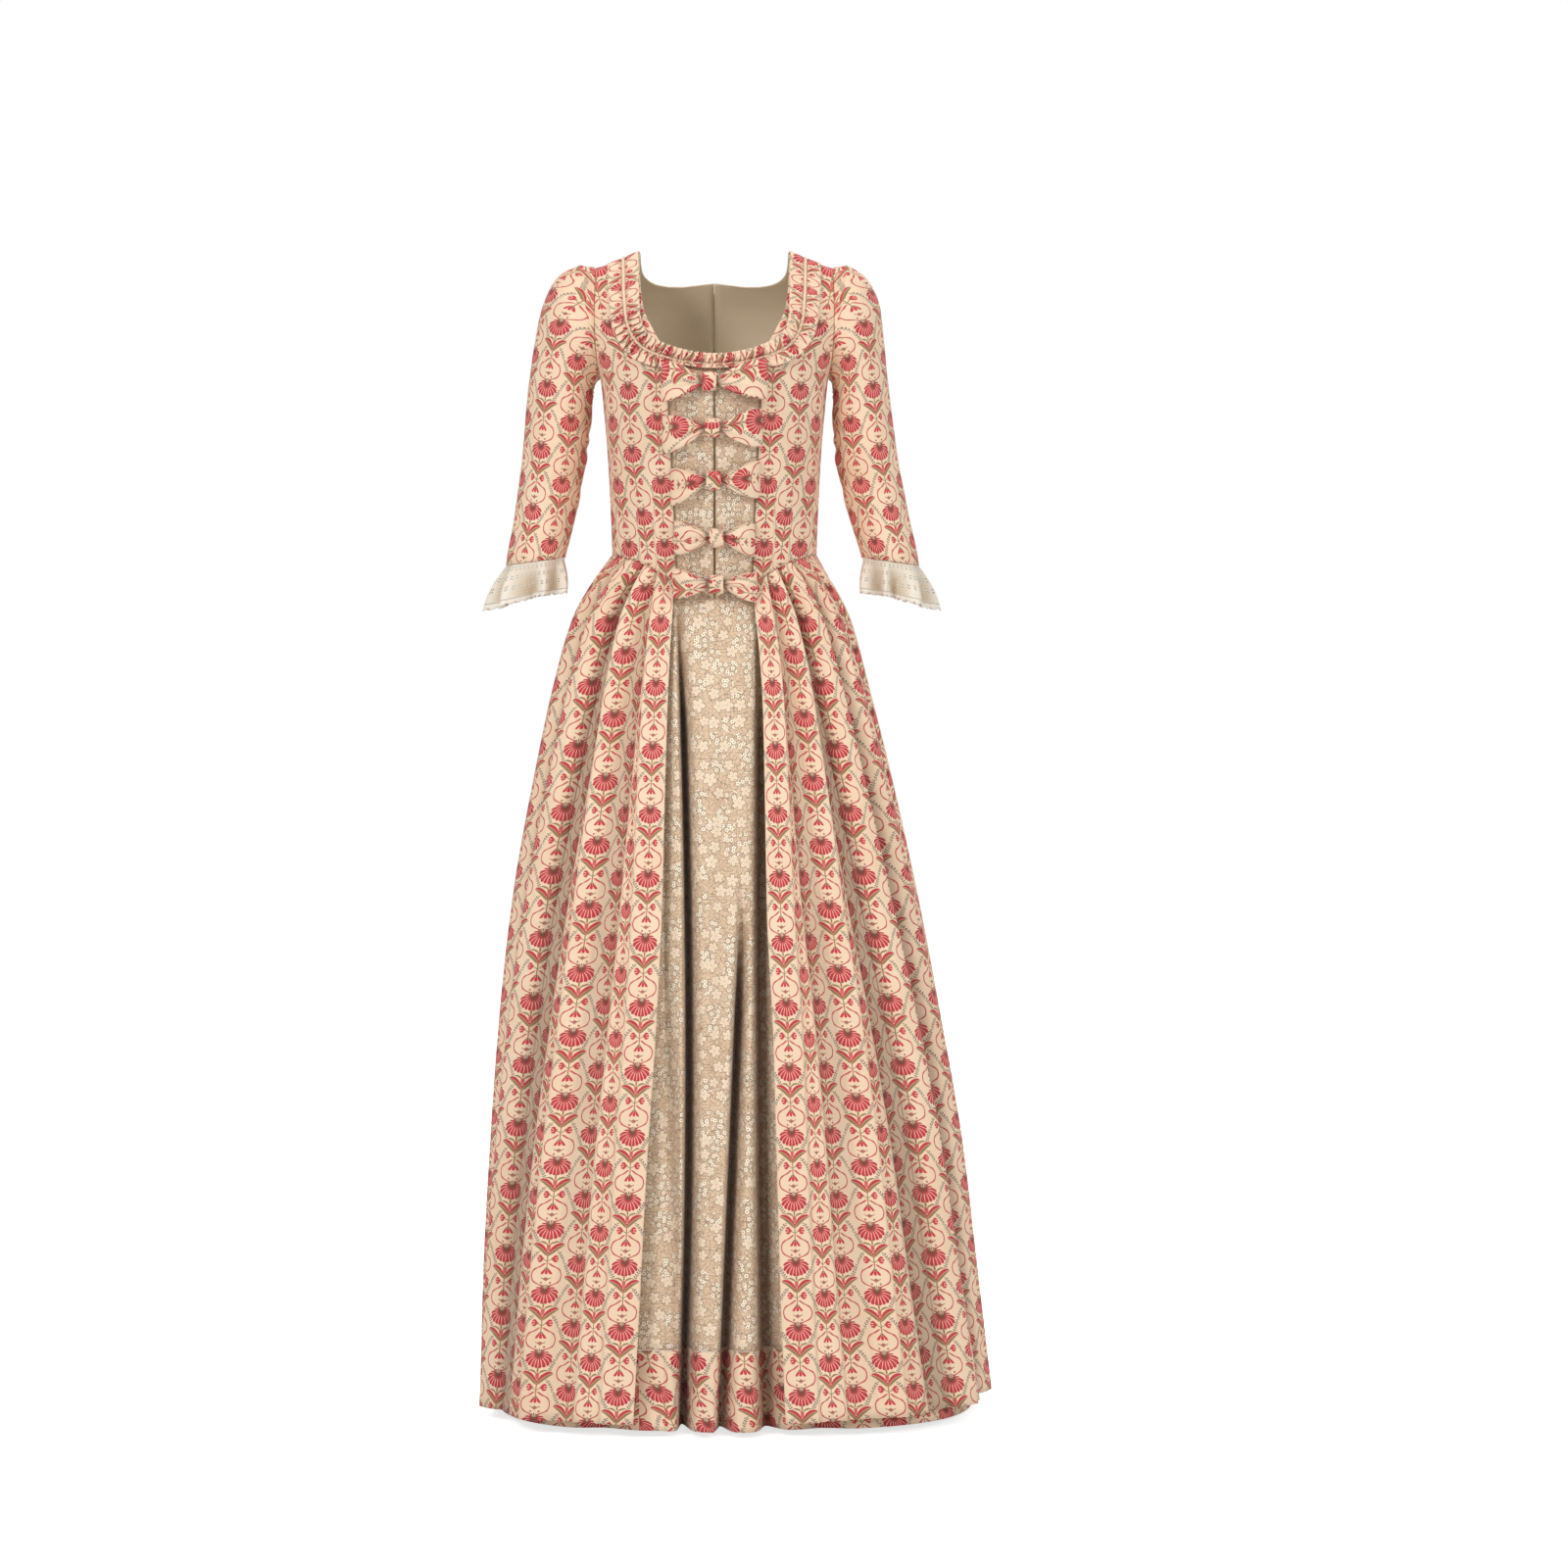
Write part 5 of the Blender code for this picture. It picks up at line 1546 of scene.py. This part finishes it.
def makeRuching():
    left = [Vector((-x, z, 0)) for x, z in ruching["line"][:-1]]
    right = [Vector((x, z, 0)) for x, z in reversed(ruching["line"])]
    count = ruching["waves"] * ruching["pointsPerWave"] + 1
    line = smoothLine([*left, *right], count)
    seats = [torsoAt(p.x, p.y) for p in line]
    rows, marks, paintedShades = [], [], []
    for i, (place, normal) in enumerate(seats):
        before, after = seats[max(i - 1, 0)][0], seats[min(i + 1, count - 1)][0]
        tangent = (after - before).normalized()
        outward = normal.cross(tangent).normalized()
        phase = (i / ruching["pointsPerWave"] + 0.17 * wobble(i * 0.05)) % 1
        # a slow rise and a sudden fold
        knife = (phase / ruching["rise"] if phase < ruching["rise"] else (1 - phase) / (1 - ruching["rise"])) ** 0.8
        # past the straight shoulder part
        curved = ease((abs(place.z + 0.06) - 0.012) / 0.02) if place.z < -0.06 else 0.0
        size = ruching["narrow"] + (ruching["wide"] - ruching["narrow"]) * min(abs(place.x) / 0.11, 1.0) ** 2
        covered = 1 - ruching["covered"] * (1 - ease((abs(place.x) - 0.040) / 0.025))
        row, mark, paintedShade = [], [], []
        for k in range(-ruching["columns"], ruching["columns"] + 1):
            c = (abs(k) / ruching["columns"]) ** 1.5 * (1 if k > 0 else -1)
            out = abs(c)
            fold = ruching["height"] * knife * (0.35 + 0.65 * curved) * (1 - 0.45 * (1 - curved) * out)
            cord = 0.0015 * math.exp(-((out / 0.062) ** 4)) - 0.0009 * math.exp(-(((out - 0.14) / 0.06) ** 2))
            lift = 0.0016 + fold * min(out / 0.14, 1.0) + cord + 0.0008 * out
            lean = tangent * (ruching["lean"] * knife * min(out * 1.6, 1.0) * curved)
            hidden = covered if (outward * c).z < 0 else 1.0
            frayed = 1 + 0.025 * wobble(i * 1.9, k) if out > 0.99 else 1.0
            row.append(place + outward * (c * size * hidden * frayed) + normal * lift + lean)
            # painted shade: dark slits just past each sudden fold, and shade along the cord's edges
            slitShade = ease(1.25 - min(abs(phase - 0.02), 1.02 - phase) / 0.12) * ease((out - 0.08) / 0.08)
            slitShade *= curved * (1 - ease((out - 0.72) / 0.25)) + 0.3 * (1 - curved) * (1 - out)
            paintedShade.append(max(1.9 * slitShade, 0.9 * math.exp(-(((out - 0.11) / 0.045) ** 2))))
            if out < 0.07:
                mark.append((c * 0.01, -0.4460 + 0.002 * wobble(i * 0.02)))  # the cord is of plain ground
            else:
                mark.append((0.021 + c * size, i * 0.00125))
        rows.append(row)
        marks.append(mark)
        paintedShades.append(paintedShade)
    clothPiece(
        "neck_ruching", rows, marks, "printedCotton",
        wall=0.0009, paintedShades=paintedShades
    )


makeRuching()
print("ruching made")

# Bows down the stomacher

bows = {
    "knotCut": (0.0175, 0.068, 0.00119),
    "pinch": 0.0090,
    "puff": 0.0085,
    "fold": 0.0028,
    "crease": 0.0013,
    "wall": 0.0010,
    "knotHalfWidth": 0.0086,
    "knotHalfHeight": 0.0104,
    "knotHalfDepth": 0.0078,
    "knotBack": -0.0020,
    # knot x and z, reach left and right, rise left and right, height and lift at the tips
    "places": (
        (-0.0060, -0.1640, 0.0515, 0.0640, -0.0020, 0.0015, 0.0440, 0.0108),
        (-0.0024, -0.2178, 0.0560, 0.0560, -0.0090, 0.0000, 0.0450, 0.0034),
        (-0.0010, -0.2796, 0.0480, 0.0520, -0.0085, 0.0010, 0.0440, 0.0034),
        (0.0020, -0.3486, 0.0470, 0.0430, 0.0000, -0.0020, 0.0400, 0.0034),
        (0.0020, -0.4044, 0.0470, 0.0430, 0.0025, -0.0025, 0.0350, 0.0100),
    ),
}
knotSection = ((0.6, 1), (1, 0.55), (1, -0.55), (0.6, -1), (-0.6, -1), (-1, -0.55), (-1, 0.55), (-0.6, 1))


def bowWing(index, bow, side):
    x0, z0, leftReach, rightReach, leftRise, rightRise, tipHeight, tipLift = bow
    reach = leftReach if side < 0 else rightReach
    rise = leftRise if side < 0 else rightRise
    first = bows["knotHalfWidth"] + 0.0010
    last = reach + 0.0010
    outs = [0.0022] + [first + (last - first) * i / 15 for i in range(16)]
    rest = bows["knotBack"] + 0.0011 * 1.5 + 0.0003
    rows, marks, paintedShades = [], [], []
    for i, out in enumerate([*outs, *reversed(outs)]):
        above = i < len(outs)
        share = max(0.0, (out - first) / (last - first))
        puff = bows["puff"] * math.sin(math.pi * min(share * 0.94 + 0.06, 1.0)) ** 0.8
        lift = rest + (tipLift - rest) * math.sqrt(share) + (bows["fold"] + puff if above else 0.0)
        height = bows["pinch"] + (tipHeight - bows["pinch"]) * math.sin(math.pi / 2 * share) ** 1.05
        row, mark, paintedShade = [], [], []
        for j in range(17):
            up = j / 16 - 0.5
            z = z0 + rise * share + up * height
            x = x0 + side * out
            crown = 0.0020 * (1 - (2 * up) ** 2) * share if above else 0.0
            # painted shade near the knot and along the drawn crease
            wingShade = 0.8 * ease(1 - share / 0.22)
            if above:
                drawn = math.sin(math.pi * min(share * 1.1 + 0.08, 1.0))
                crown += bows["crease"] * drawn * math.cos(
                    2 * math.pi * (up * 2.1 + 0.13 * index * side + 0.2 * share)
                )
                crease = drawn * math.exp(-(((up - 0.10 * side + 0.06 * index - 0.18) / 0.05) ** 2))
                crown -= 0.0024 * crease
                wingShade = max(wingShade, 0.9 * crease * (1 - share))
            paintedShade.append(wingShade)
            place, normal = torsoAt(x, z)
            row.append(Vector((place.x, place.y, z)) + normal * (lift + crown))
            mark.append(
                (0.045 * up + 0.3 * index, (out if above else 2 * last - out) + 0.13 * index + 0.07 * side)
            )
        rows.append(row)
        marks.append(mark)
        paintedShades.append(paintedShade)
    name = f"bow_{index}_wing_{sideName(side)}"
    clothPiece(
        name, rows, marks, "printedCotton", wall=bows["wall"],
        paintedShades=paintedShades
    )


def bowKnot(index, bow):
    x0, z0 = bow[:2]
    normal = torsoAt(x0, z0)[1]
    normal = Vector((0, normal.y, normal.z)).normalized()
    upward = Vector((0, normal.z, -normal.y))
    section = evenly([Vector((up, out, 0)) for up, out in knotSection], 48, closed=True)
    rows, marks = [], []
    for k in range(13):
        across = k / 6 - 1
        crown = 1 + 0.08 * (1 - across * across)
        here = torsoAt(x0 + bows["knotHalfWidth"] * across, z0)[0]
        here.z = z0
        row = []
        for p in section:
            stand = bows["knotBack"] + bows["knotHalfDepth"] * (1 + p.y * (crown if p.y > 0 else 1))
            if p.y > 0:
                stand += 0.0009 * math.cos(across * 8 + index + 1.5 * p.x) * p.y
            row.append(here + normal * stand + upward * (bows["knotHalfHeight"] * crown * p.x))
        rows.append(row)
        marks.append([(0.017 * across / 2 + 0.2 * index, 0.06 * c / 48 + 0.1 * index) for c in range(49)])
    name = f"bow_{index}_knot"
    clothPiece(
        name, rows, marks, "printedCotton",
        wall=bows["wall"], closed=True, offset=1.0
    )


def makeBows():
    for index, bow in enumerate(bows["places"], start=1):
        bowKnot(index, bow)
        for side in (-1, 1):
            bowWing(index, bow, side)


makeBows()
print("bows made")
